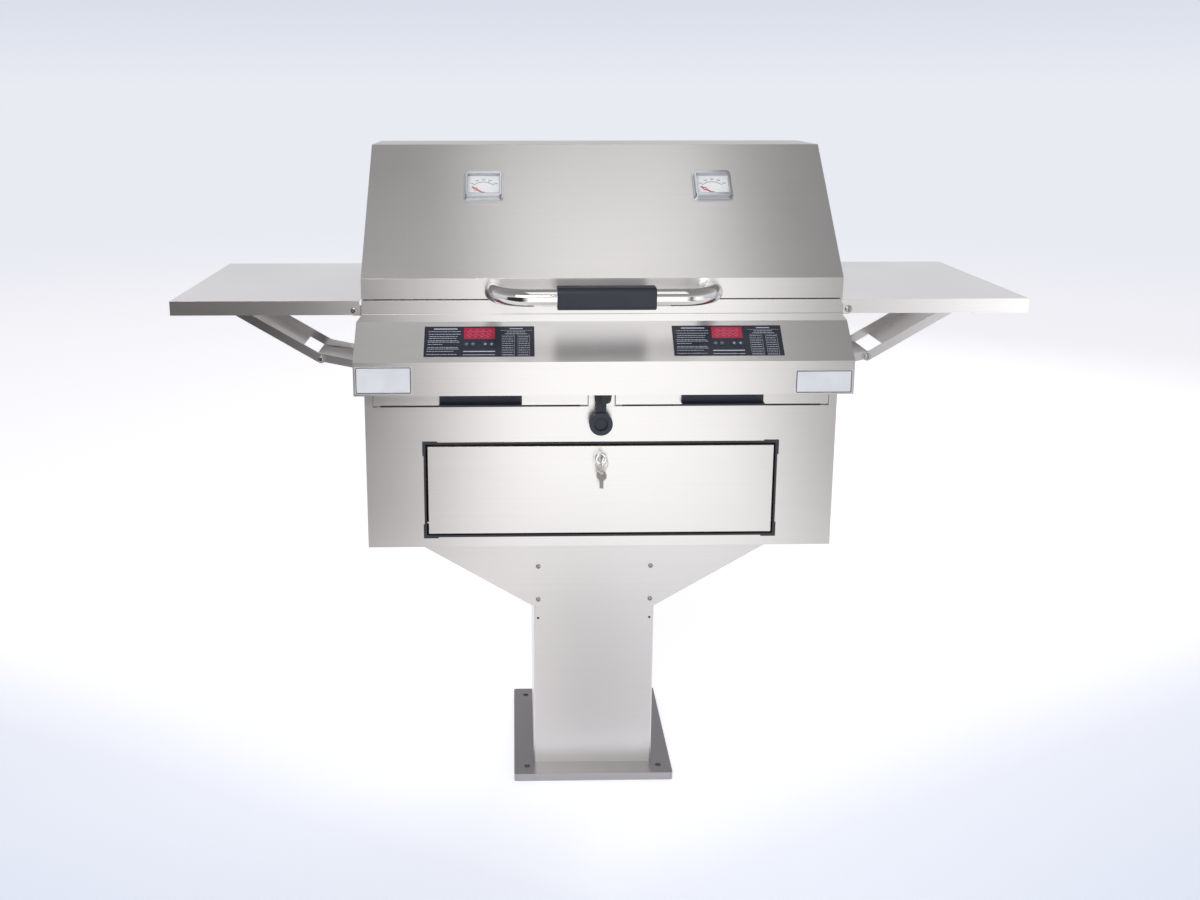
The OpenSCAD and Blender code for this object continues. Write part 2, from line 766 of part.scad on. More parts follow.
// Control housing levels, and the sloping panel's own frame: x along it, y up the slope, z out of it
riser_z1 = band_z - riser_gap;
riser_z0 = riser_z1 - riser_h;
panel_z = riser_z0 - panel_drop;
housing_z = panel_z - face_h;
housing_face = front - housing_d;
panel_run = housing_d - rim_proud;
panel_l = norm([panel_run, panel_drop]);
panel_angle = atan2(panel_drop, panel_run);
module on_panel(x) { translate([x, housing_face, panel_z]) rotate([panel_angle, 0, 0]) children(); }

// Corner b of the outline a, b, c moved inward by t from both of its edges
function inward(a, b) = let (d = (b - a) / norm(b - a)) [d[1], -d[0]];
function inset(a, b, c, t) = let (n = inward(a, b), m = inward(b, c)) b + t * (n + m) / (1 + n * m);

// Controls on the panel: places in its own frame
display_drop = 24.2;
button_drop = 45.5;
overlay_t = 0.6;
button_stem = 7;
board_clear = 0.8;
board_set = button_stem + button_travel + board_clear;
display_gap = 0.1;
display_proud = 0.6;
button_at = [-21.3, -10.4, 9.8, 20.7];
button_proud = 1.5;
flange_r = 5;
flange_t = 1;
panel_hole_gap = 0.3;
overlay_y1 = panel_l - overlay_top;
overlay_y0 = overlay_y1 - overlay_l;
display_y = panel_l - display_drop;
button_y = panel_l - button_drop;

// Cutters for the windows and button holes of one control group
module control_holes(z0, z1) {
    w = display_w / 2 + display_gap;
    h = display_l / 2 + display_gap;
    span([-w, display_y - h, z0], [w, display_y + h, z1]);
    for (x = button_at) translate([x, button_y, z0]) cylinder(r = button_r + panel_hole_gap, h = z1 - z0);
}

// Control housing: a sheet box with an upright face and a sloping panel, open toward the firebox
socket_set = 29;
socket_y = housing_face + socket_set;
socket_r = 12.5;
module control_housing() {
    a = [front, housing_z];
    b = [housing_face, housing_z];
    c = [housing_face, panel_z];
    d = [front - rim_proud, riser_z0];
    e = [front, riser_z0];
    ib = inset(a, b, c, housing_t);
    ic = inset(b, c, d, housing_t);
    slope = (d - c) / norm(d - c);
    id = ic + slope * (front + cut - ic[0]) / slope[0];
    ie = ic + slope * (front - housing_t - ic[0]) / slope[0];
    color("silver") difference() {
        union() {
            along_x(housing_w) polygon([a, b, c, d, e]);
            along_y(front - rim_proud, front) polygon([
                [-housing_w / 2, riser_z0], [housing_w / 2, riser_z0], [side_x, riser_z1], [-side_x, riser_z1]
            ]);
        }
        along_x(2 * (side_x - sheet)) polygon([[front + cut, ib[1]], ib, ic, id]);
        along_x(housing_w - 2 * housing_t) polygon([[front - housing_t, ib[1]], ib, ic, ie]);
        for (x = [-overlay_x, overlay_x]) on_panel(x) control_holes(-housing_t - cut, cut);
        translate([0, socket_y, housing_z - cut]) cylinder(r = socket_r + loose, h = housing_t + 2 * cut);
        at_housing_side() translate([0, 0, -housing_t - cut])
            cylinder(r = rivet_r + loose, h = housing_t + 2 * cut);
    }
}

// Printed overlays on the panel
module overlays() {
    color([0.85, 0.86, 0.88]) for (x = [-overlay_x, overlay_x]) on_panel(x) difference() {
        span([-overlay_w / 2, overlay_y0, 0], [overlay_w / 2, overlay_y1, overlay_t]);
        control_holes(-cut, overlay_t + cut);
    }
}

// Numeric displays, from the boards out through the windows
module displays() {
    color([0.15, 0.05, 0.05]) for (x = [-overlay_x, overlay_x]) on_panel(x)
        span([-display_w / 2, display_y - display_l / 2, -board_set],
             [display_w / 2, display_y + display_l / 2, overlay_t + display_proud]);
}

// Push button: cap, stem and the flange that keeps it in
module push_button(s, i) {
    color([0.1, 0.1, 0.1]) on_panel(s * overlay_x + button_at[i]) translate([0, button_y, 0]) {
        translate([0, 0, -button_stem]) cylinder(r = button_r, h = button_stem + overlay_t + button_proud);
        translate([0, 0, -housing_t - gap - flange_t]) cylinder(r = flange_r, h = flange_t);
    }
}
module button_on_left() { push_button(-1, 0); }
module button_off_left() { push_button(-1, 1); }
module button_up_left() { push_button(-1, 2); }
module button_down_left() { push_button(-1, 3); }
module button_on_right() { push_button(1, 0); }
module button_off_right() { push_button(1, 1); }
module button_up_right() { push_button(1, 2); }
module button_down_right() { push_button(1, 3); }

// Control boards on four posts behind each panel group
board_w = 170;
board_t = 1.6;
board_y0 = 14;
board_y1 = 66;
post_r = 2.5;
post_edge = 6;
module control_boards() {
    color("darkgreen") for (x = [-overlay_x, overlay_x]) on_panel(x) {
        span([-board_w / 2, board_y0, -board_set - board_t], [board_w / 2, board_y1, -board_set]);
        for (px = [-1, 1] * (board_w / 2 - post_edge), py = [board_y0 + post_edge, board_y1 - post_edge])
            translate([px, py, -board_set]) cylinder(r = post_r, h = board_set - housing_t);
    }
}

// Bare label plates at both ends of the housing's upright face
label_t = 0.6;
label_edge = 3.3;
label_z = 27;
label_right_z = 21.7;
label_end = housing_w / 2 - label_edge;
module label_plates() {
    color("whitesmoke") {
        translate([-label_end, 0, housing_z + label_z])
            span([0, housing_face - label_t, -label_left_h / 2],
                    [label_left_w, housing_face, label_left_h / 2]);
        translate([label_end - label_right_w, 0, housing_z + label_right_z])
            span([0, housing_face - label_t, -label_right_h / 2],
                    [label_right_w, housing_face, label_right_h / 2]);
    }
}

// Power inlet under the housing: flange, collar, a neck open at the foot and three pins inside it
socket_bore_r = 9.5;
socket_flange_r = 17;
socket_flange_t = 3;
neck_l = 2;
collar_foot_r = 13.5;
inlet_pin_r = 1.8;
inlet_pin_at = 5.5;
inlet_pin_l = 10;
socket_foot = housing_z - collar_h - neck_l;
module socket() {
    roof = housing_z + housing_t;
    color([0.13, 0.13, 0.14]) translate([0, socket_y, 0]) {
        difference() {
            union() {
                translate([0, 0, socket_foot])
                    cylinder(r = socket_r, h = roof - socket_foot + socket_flange_t);
                translate([0, 0, housing_z - collar_h])
                    cylinder(r1 = collar_foot_r, r2 = collar_r, h = collar_h);
                translate([0, 0, roof]) cylinder(r = socket_flange_r, h = socket_flange_t);
            }
            translate([0, 0, socket_foot - cut]) cylinder(r = socket_bore_r, h = roof - socket_foot + cut);
        }
        for (turn = [0 : 2]) rotate([0, 0, 90 + turn * 120]) translate([inlet_pin_at, 0, roof - inlet_pin_l])
            cylinder(r = inlet_pin_r, h = inlet_pin_l);
    }
}

// Rubber cap on its strap, hanging behind the collar with its bowl to the front
strap_w = 18;
strap_t = 3;
strap_top = 2.2;
strap_gap = 0.8;
cap_t = 4;
cap_lip = 5;
cap_bowl_r = 12;
cap_shift = 2;
cap_y = socket_y + collar_r - strap_t / 2;
cap_hinge_z = housing_z - collar_h - strap_gap - strap_top;
module socket_cap() {
    color([0.16, 0.19, 0.25]) translate([-cap_shift, cap_y, cap_hinge_z]) {
        difference() {
            union() {
                span([-strap_w / 2, -strap_t / 2, -strap_l], [strap_w / 2, strap_t / 2, strap_top]);
                rod_y(cap_r, -strap_t / 2, cap_t - strap_t / 2, 0, -strap_l);
                rod_y(cap_r, -strap_t / 2 - cap_lip, -strap_t / 2, 0, -strap_l);
            }
            rod_y(cap_bowl_r, -strap_t / 2 - cap_lip - cut, -strap_t / 2, 0, -strap_l);
        }
    }
}

// Lid outline, in depth and height: lip, front slope, flat top, rear slope, rear wall and its open foot
lid_sill = 2;
lid_outline = [
    [front - rim_proud, lid_z],
    [front - rim_proud, lid_z + lid_lip_h],
    [front - rim_proud + lid_slope_d, lid_z + lid_h],
    [front - rim_proud + lid_slope_d + lid_top_d, lid_z + lid_h],
    [back, lid_z + lid_h - lid_back_drop],
    [back, lid_z + lid_back_open],
    [hinge_y + lid_sill, lid_z]
];
slope_low = lid_outline[1];
slope_high = lid_outline[2];
slope_angle = atan2(slope_high[1] - slope_low[1], slope_high[0] - slope_low[0]);

// The lid slope's own frame at a gauge: x along it, y up the slope, z out of it
module at_gauge(x) {
    spot = slope_low + gauge_up * [cos(slope_angle), sin(slope_angle)];
    translate([x, spot[0], spot[1]]) rotate([slope_angle, 0, 0]) children();
}

// Handle places
handle_z = lid_z + hinge_rise;
handle_y = front - rim_proud - handle_reach;
leg_x = handle_w / 2 - handle_r;
bend_x = leg_x - bend_r;
handle_screw_r = 4;
handle_screw_head_r = 7;
handle_screw_head_h = 4;
probe_r = 4;
probe_l = 45;

// Lid shell: folded sheet, open underneath and low at the back, drilled for pins, handle and gauges
module lid_shell() {
    n = [for (i = [1 : 4]) inset(lid_outline[i - 1], lid_outline[i], lid_outline[i + 1], lid_t)];
    color("silver") difference() {
        along_x(body_w) polygon(lid_outline);
        along_x(body_w - 2 * lid_t) polygon([
            [n[0][0], lid_z - cut], n[0], n[1], n[2], n[3],
            [n[3][0], lid_outline[5][1]], [back + cut, lid_outline[5][1]], [back + cut, lid_z - cut]
        ]);
        rod_x(hinge_pin_r + fit, -side_x - cut, side_x + cut, hinge_y, hinge_z);
        for (x = [-leg_x, leg_x])
            rod_y(handle_screw_r + loose, front - rim_proud - cut, front - rim_proud + lid_t + cut,
                    x, handle_z);
        for (x = [-gauge_x, gauge_x]) at_gauge(x) translate([0, 0, -lid_t - cut])
            cylinder(r = probe_r + loose, h = lid_t + 2 * cut);
    }
}

// Solid or bore of the handle: a straight run, two bends and, where asked, the two legs
module handle_path(r, leg_l) {
    rod_x(r, -bend_x, bend_x, handle_y, handle_z);
    both_sides() {
        translate([bend_x, handle_y + bend_r, handle_z]) rotate([0, 0, -90])
            rotate_extrude(angle = 90) translate([bend_r, 0]) circle(r);
        rod_y(r, handle_y + bend_r, handle_y + bend_r + leg_l, leg_x, handle_z);
    }
}
module lid_handle() {
    leg_l = handle_reach - bend_r;
    color("white") difference() {
        handle_path(handle_r, leg_l);
        handle_path(handle_r - handle_wall, cut);
        both_sides()
            rod_y(handle_screw_r + fit, handle_y + bend_r, handle_y + handle_reach + cut, leg_x, handle_z);
    }
}

// Grip round the middle of the handle
grip_r = 9;
module handle_grip() {
    color([0.17, 0.19, 0.24]) difference() {
        translate([0, handle_y, handle_z]) along_x(grip_w) rounded([grip_h, grip_h], grip_r);
        rod_x(handle_r + fit, -grip_w / 2 - cut, grip_w / 2 + cut, handle_y, handle_z);
    }
}

// Screws that hold the handle from inside the lid
module handle_screws() {
    face = front - rim_proud + lid_t;
    color("lightgray") both_sides() {
        rod_y(handle_screw_r, front - rim_proud - (handle_reach - bend_r), face, leg_x, handle_z);
        rod_y(handle_screw_head_r, face, face + handle_screw_head_h, leg_x, handle_z);
    }
}

// Lid hinge pins with their heads outside the lid
hinge_head_r = 8;
hinge_head_h = 3;
pin_inset = 3;
module lid_hinge_pins() {
    color("gray") both_sides() {
        rod_x(hinge_pin_r, ear_x - ear_t - pin_inset, side_x + gap, hinge_y, hinge_z);
        rod_x(hinge_head_r, side_x + gap, side_x + gap + hinge_head_h, hinge_y, hinge_z);
    }
}

// Gauge: bezel with its probe, dial with the needle's pivot, needle and lens
bezel_rim = 6.5;
bezel_r = 6;
bezel_foot = 4;
bezel_step = 2.5;
bezel_floor = 1;
bezel_lip = 1;
dial_t = 1;
dial_gap = 0.1;
lens_t = 1.5;
dial_screw_r = 2;
dial_screw_h = 0.6;
dial_screw_x = 20;
window_w = gauge_w - 2 * bezel_rim;
window_l = gauge_l - 2 * bezel_rim - bezel_foot;
pocket_size = [window_w + 2 * bezel_lip, window_l + 2 * bezel_lip];
pane_size = [pocket_size[0] - 2 * dial_gap, pocket_size[1] - 2 * dial_gap];
needle_rise = 5;
needle_hub_y = needle_rise - window_l / 2;
needle_z = bezel_floor + dial_t + gap;
needle_t = 1.2;
needle_l = 25;
needle_w = 2;
needle_hub_r = 3.2;
needle_ring_r = 3;
needle_angle = 145;
needle_pivot_r = 0.8;
lens_z = gauge_t - bezel_lip - lens_t;
module both_gauges() { for (x = [-gauge_x, gauge_x]) at_gauge(x) children(); }
module gauge_bezels() {
    color("white") both_gauges() {
        difference() {
            union() {
                linear_extrude(bezel_foot) rounded([gauge_w, gauge_l], bezel_r);
                linear_extrude(gauge_t)
                    rounded([gauge_w - 2 * bezel_step, gauge_l - 2 * bezel_step], bezel_r);
            }
            translate([0, 0, bezel_floor]) linear_extrude(gauge_t - bezel_lip - bezel_floor)
                square(pocket_size, center = true);
            translate([0, 0, bezel_floor]) linear_extrude(gauge_t)
                square([window_w, window_l], center = true);
        }
        translate([0, 0, -probe_l]) cylinder(r = probe_r, h = probe_l);
    }
}
module gauge_dials() {
    color("white") both_gauges() {
        translate([0, 0, bezel_floor]) linear_extrude(dial_t)
            square(pane_size, center = true);
        translate([0, needle_hub_y, bezel_floor])
            cylinder(r = needle_pivot_r, h = dial_t + gap + needle_t + gap);
        for (x = [-dial_screw_x, dial_screw_x]) translate([x, needle_hub_y, bezel_floor + dial_t])
            cylinder(r = dial_screw_r, h = dial_screw_h);
    }
}
module gauge_lenses() {
    color("azure", 0.3) both_gauges() translate([0, 0, lens_z]) linear_extrude(lens_t)
        square(pane_size, center = true);
}
module needle(x) {
    ring_at = needle_l * 2 / 3;
    color("crimson") at_gauge(x) translate([0, needle_hub_y, needle_z]) difference() {
        union() {
            cylinder(r = needle_hub_r, h = needle_t);
            rotate([0, 0, needle_angle]) {
                translate([0, -needle_w / 2, 0]) cube([needle_l, needle_w, needle_t]);
                translate([ring_at, 0, 0]) cylinder(r = needle_ring_r, h = needle_t);
            }
        }
        translate([0, 0, -cut]) cylinder(r = needle_pivot_r + fit, h = needle_t + 2 * cut);
        rotate([0, 0, needle_angle]) translate([ring_at, 0, -cut])
            cylinder(r = needle_ring_r - needle_w / 2, h = needle_t + 2 * cut);
    }
}
module needle_left() { needle(-gauge_x); }
module needle_right() { needle(gauge_x); }

// Shelf and brace places, for the right side
pivot_x = side_x + pivot_out;
shelf_top = rim_z - shelf_drop;
pivot_z = shelf_top - pivot_drop;
shelf_x0 = pivot_x - pivot_in;
shelf_x1 = shelf_x0 + shelf_l;
shelf_y0 = front + shelf_set;
shelf_y1 = shelf_y0 + shelf_d;
shelf_mid = (shelf_y0 + shelf_y1) / 2;
arm_pin = [pivot_x + arm_out, pivot_z + arm_up];
knee = [side_x + knee_out, pivot_z - knee_drop];
foot = [side_x + foot_out, pivot_z - foot_drop];
brace_y0 = shelf_mid - brace_w / 2;
short_y0 = brace_y0 + arm_t + gap;
lug_w = 3;
arm_pin_y0 = short_y0;
foot_lug_y0 = short_y0 + arm_t + gap;
pivot_ear_r = 9;
arm_lug_r = 8;
head_l = 2.4;
nut_r = 5.5;
nut_l = 4;

// The same shape near the front and, turned over, near the rear of the shelf
module front_and_rear() {
    children();
    translate([0, 2 * shelf_mid, 0]) mirror([0, 1, 0]) children();
}

// Shelf: folded sheet with three lips, and two lugs whose pins carry the long arm
module shelf(s) {
    color("silver") on_side(s) difference() {
        union() {
            difference() {
                span([shelf_x0, shelf_y0, shelf_top - lip_h], [shelf_x1, shelf_y1, shelf_top]);
                span([shelf_x0 - cut, shelf_y0 + shelf_t, shelf_top - lip_h - cut],
                     [shelf_x1 - shelf_t, shelf_y1 - shelf_t, shelf_top - shelf_t]);
            }
            front_and_rear() {
                along_y(arm_pin_y0, arm_pin_y0 + lug_w) {
                    translate(arm_pin) circle(arm_lug_r);
                    translate([arm_pin[0] - arm_lug_r, arm_pin[1]])
                        square([2 * arm_lug_r, shelf_top - shelf_t - arm_pin[1]]);
                }
                rod_y(pivot_r, brace_y0 - gap, arm_pin_y0 + lug_w, arm_pin[0], arm_pin[1]);
                rod_y(pivot_head_r, brace_y0 - gap - head_l, brace_y0 - gap, arm_pin[0], arm_pin[1]);
            }
        }
        rod_y(pivot_r + fit, shelf_y0 - cut, shelf_y0 + shelf_t + cut, pivot_x, pivot_z);
        rod_y(pivot_r + fit, shelf_y1 - shelf_t - cut, shelf_y1 + cut, pivot_x, pivot_z);
    }
}
module shelf_left() { shelf(-1); }
module shelf_right() { shelf(1); }

// Brackets on the firebox sides: an ear inside each shelf lip, and a U whose two lugs carry the short arm
ear_plate = 3;
ear_foot = 20;
foot_plate = 1.5;
module bracket_ear(y0, place) {
    along_y(y0, y0 + ear_plate) difference() {
        union() {
            translate(place) circle(pivot_ear_r);
            translate([side_x, place[1] - pivot_ear_r]) square([place[0] - side_x, 2 * pivot_ear_r]);
        }
        translate(place) circle(pivot_r + fit);
    }
}
module shelf_brackets() {
    color("gray") both_sides() {
        front_and_rear() {
            y0 = shelf_y0 + shelf_t + gap;
            bracket_ear(y0, [pivot_x, pivot_z]);
            span([side_x, y0, pivot_z - pivot_ear_r],
                    [side_x + foot_plate, y0 + ear_foot, pivot_z + pivot_ear_r]);
            bracket_ear(foot_lug_y0, foot);
        }
        span([side_x, foot_lug_y0, foot[1] - pivot_ear_r],
             [side_x + foot_plate, 2 * shelf_mid - foot_lug_y0, foot[1] + pivot_ear_r]);
    }
}

// Bolts of the shelf pivots and of the short arms' feet, each with its head outside and its nut inside
module pivot_bolt(y0, y1, place) {
    rod_y(pivot_r, y0 - gap, y1 + nut_l, place[0], place[1]);
    rod_y(pivot_head_r, y0 - gap - head_l, y0 - gap, place[0], place[1]);
    translate([place[0], y1, place[1]]) rotate([-90, 0, 0]) cylinder(r = nut_r, h = nut_l, $fn = 6);
}
module shelf_bolts() {
    color("white") both_sides() front_and_rear() {
        pivot_bolt(shelf_y0, shelf_y0 + shelf_t + gap + ear_plate, [pivot_x, pivot_z]);
        pivot_bolt(short_y0, foot_lug_y0 + ear_plate, foot);
    }
}

// A brace arm's own frame: x from one place toward another, z square to it
module toward(a, b) {
    translate([a[0], 0, a[1]]) rotate([0, -atan2(b[1] - a[1], b[0] - a[0]), 0]) children();
}

// Long arm: upward channel from the knee to the shelf, its web cut back at both ends, and the knee's rivets
web_cut = 42;
web_end = 15;
module brace_long(s) {
    l = norm(arm_pin - knee);
    r = arm_h / 2;
    color("dimgray") on_side(s) toward(knee, arm_pin) {
        front_and_rear() {
            along_y(brace_y0, brace_y0 + arm_t) difference() {
                union() {
                    circle(r);
                    translate([l, 0]) circle(r);
                    translate([0, -r]) square([l, 2 * r]);
                }
                translate([l, 0]) circle(pivot_r + fit);
            }
            rod_y(pivot_head_r, brace_y0 - head_l, brace_y0, 0, 0);
        }
        span([web_cut, brace_y0 + arm_t, -r], [l - web_end, 2 * shelf_mid - brace_y0 - arm_t, arm_t - r]);
    }
}
module brace_long_left() { brace_long(-1); }
module brace_long_right() { brace_long(1); }

// Short arm: an upward channel from the firebox to the knee, nested inside the long arm
short_low = 5;
short_high = 9.8;
short_end = 5;
short_tail = 14;
module brace_short(s) {
    l = norm(knee - foot);
    color("gray") on_side(s) toward(foot, knee) {
        front_and_rear() along_y(short_y0, short_y0 + arm_t) difference() {
            translate([-short_end, -short_low]) square([short_end + l + short_tail, short_low + short_high]);
            circle(pivot_r + fit);
        }
        span([short_tail, short_y0 + arm_t, -short_low],
             [l + short_tail, 2 * shelf_mid - short_y0 - arm_t, arm_t - short_low]);
    }
}
module brace_short_left() { brace_short(-1); }
module brace_short_right() { brace_short(1); }

base_plate();
column();
saddle_plates();
saddle_cheeks();
pan_screws();
cable_gland();
cabinet_shell();
cabinet_front();
door();
door_gasket();
door_hinge_pins();
lock_body();
lock_plug();
key();
key_ring();
spare_key();
grease_tray_left();
grease_tray_right();
tray_pull_left();
tray_pull_right();
tray_runners();
firebox();
heating_element_left();
heating_element_right();
element_clips();
cooking_grate_left();
cooking_grate_right();
control_housing();
overlays();
displays();
control_boards();
label_plates();
button_on_left();
button_off_left();
button_up_left();
button_down_left();
button_on_right();
button_off_right();
button_up_right();
button_down_right();
socket();
socket_cap();
lid_shell();
lid_handle();
handle_grip();
handle_screws();
lid_hinge_pins();
gauge_bezels();
gauge_dials();
gauge_lenses();
needle_left();
needle_right();
shelf_left();
shelf_right();
shelf_brackets();
shelf_bolts();
brace_long_left();
brace_long_right();
brace_short_left();
brace_short_right();
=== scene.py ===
"""Lidded electric park grill on a steel pedestal: its finishes, studio and camera.

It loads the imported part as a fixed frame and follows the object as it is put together,
from the base plate up to the lid and out to the shelves. Metres, with the floor at Z = 0.
"""

import json
import math
import random

import bpy
from mathutils import Matrix, Vector

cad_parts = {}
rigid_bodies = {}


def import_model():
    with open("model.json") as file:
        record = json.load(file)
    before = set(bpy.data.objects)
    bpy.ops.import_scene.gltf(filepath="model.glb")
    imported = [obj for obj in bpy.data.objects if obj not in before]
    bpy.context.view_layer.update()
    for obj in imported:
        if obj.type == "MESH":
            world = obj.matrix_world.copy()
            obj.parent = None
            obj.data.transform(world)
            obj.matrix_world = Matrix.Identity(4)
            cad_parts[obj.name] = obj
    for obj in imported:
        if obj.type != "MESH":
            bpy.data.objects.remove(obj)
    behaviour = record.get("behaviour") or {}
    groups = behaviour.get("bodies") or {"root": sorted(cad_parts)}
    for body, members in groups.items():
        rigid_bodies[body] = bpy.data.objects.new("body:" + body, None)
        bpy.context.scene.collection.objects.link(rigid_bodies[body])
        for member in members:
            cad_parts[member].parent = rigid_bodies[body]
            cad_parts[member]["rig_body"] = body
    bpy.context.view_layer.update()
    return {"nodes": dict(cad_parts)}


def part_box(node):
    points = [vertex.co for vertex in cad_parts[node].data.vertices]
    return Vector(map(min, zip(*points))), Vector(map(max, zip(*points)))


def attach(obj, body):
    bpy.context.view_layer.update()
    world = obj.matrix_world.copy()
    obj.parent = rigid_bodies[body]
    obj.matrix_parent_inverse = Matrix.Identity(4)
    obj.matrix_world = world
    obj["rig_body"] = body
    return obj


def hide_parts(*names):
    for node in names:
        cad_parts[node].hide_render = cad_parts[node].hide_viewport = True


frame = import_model()
scene = bpy.context.scene
scene.view_settings.view_transform = "Standard"
bpy.ops.object.select_all(action="DESELECT")


# Camera
# A view from a little left of the middle and above the shelves, looking slightly down.
# The lens shift is small enough that the side and back views hold the whole object.
lens_data = bpy.data.cameras.new("camera")
lens_data.sensor_width = 36
lens_data.lens = 32.9
lens_data.shift_x = 0.055
lens_data.shift_y = -0.13
camera = bpy.data.objects.new("camera", lens_data)
camera.location = (-0.151, -2.05, 1.31)
camera.rotation_euler = (math.radians(79.33), 0, math.radians(-1.1))
scene.collection.objects.link(camera)
scene.camera = camera


# Studio floor, surroundings and lamps
# A wide pale floor runs out to a pale horizon. Its paint is palest under and behind the object,
# and a little darker in front and to the sides: painted shade. Overhead the room darkens, as a studio ceiling
# does.
HORIZON = "#E9EBF3"
FLOOR_SIDE_SHARE = 0.45              # what a step sideways darkens, beside a step forward
FLOOR_SPAN = 2.0                     # distance over which the floor runs through its shades
FLOOR_GLOW = 0.52                    # strength of the floor's own light
FADE_FROM, FADE_TO = 4.5, 9.0        # distances between which the floor turns into the horizon


def linear(hex_colour):
    """An sRGB hex value as a linear RGBA colour."""
    parts = [int(hex_colour[i : i + 2], 16) / 255 for i in (1, 3, 5)]
    return tuple(c / 12.92 if c <= 0.04045 else ((c + 0.055) / 1.055) ** 2.4 for c in parts) + (1,)


def add(tree, kind, inputs=None, **settings):
    """Adds a node, sets its properties, and sets or links its inputs."""
    node = tree.nodes.new(kind)
    for name, value in settings.items():
        setattr(node, name, value)
    for key, value in (inputs or {}).items():
        if isinstance(value, bpy.types.NodeSocket):
            tree.links.new(value, node.inputs[key])
        else:
            node.inputs[key].default_value = value
    return node


def ramp(tree, factor, stops):
    """A colour ramp through (place, hex colour) stops."""
    node = add(tree, "ShaderNodeValToRGB", {0: factor})
    elements = node.color_ramp.elements
    while len(elements) < len(stops):
        elements.new(0.5)
    for element, (place, colour) in zip(elements, stops):
        element.position = place
        element.color = linear(colour)
    return node.outputs["Color"]


def new_material(name):
    """An empty node material and its tree."""
    material = bpy.data.materials.new(name)
    material.use_nodes = True
    material.node_tree.nodes.clear()
    return material, material.node_tree


def studio_floor():
    """Matt pale floor, with painted shade in front and to the sides: lit paint that keeps shadows, with a
    glow where the eye or a mirror meets it.
    """
    material, t = new_material("studio_floor_paint")
    coord = add(t, "ShaderNodeTexCoord")
    reach = add(t, "ShaderNodeVectorMath", {0: coord.outputs["Object"]}, operation="LENGTH")
    split = add(t, "ShaderNodeSeparateXYZ", {0: coord.outputs["Object"]})
    aside = add(t, "ShaderNodeMath", {0: split.outputs["X"]}, operation="ABSOLUTE")
    aside = add(t, "ShaderNodeMath", {0: aside.outputs[0], 1: FLOOR_SIDE_SHARE}, operation="MULTIPLY")
    forward = add(t, "ShaderNodeMath", {0: aside.outputs[0], 1: split.outputs["Y"]}, operation="SUBTRACT")
    place = add(t, "ShaderNodeMath", {0: forward.outputs[0], 1: FLOOR_SPAN}, operation="DIVIDE",
                use_clamp=True)
    # Painted shade: the floor's colour darkens in front of and beside the object.
    colour = ramp(t, place.outputs[0], [
        (0.0, "#F4F4F8"), (0.1, "#F0F1F6"), (0.25, "#D9DCE5"), (0.46, "#CDD3DF"),
    ])
    ray = add(t, "ShaderNodeLightPath")
    seen = add(t, "ShaderNodeMath", {0: ray.outputs["Is Camera Ray"], 1: ray.outputs["Is Glossy Ray"]},
               operation="ADD")
    seen = add(t, "ShaderNodeMath", {0: seen.outputs[0], 1: ray.outputs["Is Transmission Ray"]},
               operation="ADD", use_clamp=True)
    lift = add(t, "ShaderNodeMath", {0: seen.outputs[0], 1: FLOOR_GLOW}, operation="MULTIPLY")
    paint = add(t, "ShaderNodeBsdfDiffuse", {"Color": colour})
    glow = add(t, "ShaderNodeEmission", {"Color": colour, "Strength": lift.outputs[0]})
    near = add(t, "ShaderNodeAddShader", {0: paint.outputs[0], 1: glow.outputs[0]})
    far = add(t, "ShaderNodeEmission", {"Color": linear(HORIZON)})
    fade = add(t, "ShaderNodeMapRange", {"Value": reach.outputs["Value"], "From Min": FADE_FROM,
                                         "From Max": FADE_TO}, interpolation_type="SMOOTHSTEP")
    mixed = add(t, "ShaderNodeMixShader", {0: fade.outputs[0], 1: near.outputs[0], 2: far.outputs[0]})
    add(t, "ShaderNodeOutputMaterial", {"Surface": mixed.outputs[0]})
    return material


bpy.ops.mesh.primitive_circle_add(vertices=96, radius=60, fill_type="NGON", location=(0, 0, -0.0005))
floor = bpy.context.object
floor.name = "studio_floor"
floor.data.materials.append(studio_floor())

world = bpy.data.worlds.new("studio")
world.use_nodes = True
scene.world = world
sky = world.node_tree
sky.nodes.clear()
toward = add(sky, "ShaderNodeSeparateXYZ", {0: add(sky, "ShaderNodeTexCoord").outputs["Generated"]})
room = ramp(sky, toward.outputs["Z"], [
    (0.0, HORIZON), (0.075, "#DADEEA"), (0.15, "#F6F6F8"), (0.26, "#F2F2F5"), (0.4, "#C6C6CA"),
    (0.6, "#A5A4A5"), (1.0, "#939192"),
])
add(sky, "ShaderNodeOutputWorld",
    {"Surface": add(sky, "ShaderNodeBackground", {"Color": room}).outputs[0]})


def softbox(name, place, aim, size, power):
    """A large soft lamp that the camera doesn't see."""
    data = bpy.data.lights.new(name, "AREA")
    data.shape = "RECTANGLE"
    data.size, data.size_y = size
    data.energy = power
    lamp = bpy.data.objects.new(name, data)
    lamp.location = place
    lamp.rotation_euler = (Vector(aim) - Vector(place)).to_track_quat("-Z", "Y").to_euler()
    lamp.visible_camera = False
    scene.collection.objects.link(lamp)
    return lamp


softbox("key_softbox", (-1.1, -3.3, 2.9), (0, 0, 0.7), (2.2, 1.4), 52)
softbox("overhead_softbox", (0.25, -0.95, 3.2), (0.1, -0.3, 0.9), (0.95, 1.5), 4.5)
softbox("rear_softbox", (1.6, 2.8, 2.4), (0, 0, 0.8), (2.0, 1.6), 30).visible_glossy = False

# A card stands in front of the object and runs back along the floor. Only mirrored rays meet it.
# It is bright in the middle, dark to the left and has a dark strip to the right, which gives the
# flat steel its dark ends. A paler card lies on the floor between it and the column.
CARD_W, CARD_MIDDLE, CARD_Y, CARD_TOP = 6.0, 0.175, -1.95, 1.45
CARD_FLOOR, FOOT_CARD = 0.7, 1.03    # depth of each card that lies on the floor
CARD_LIFT = 0.001


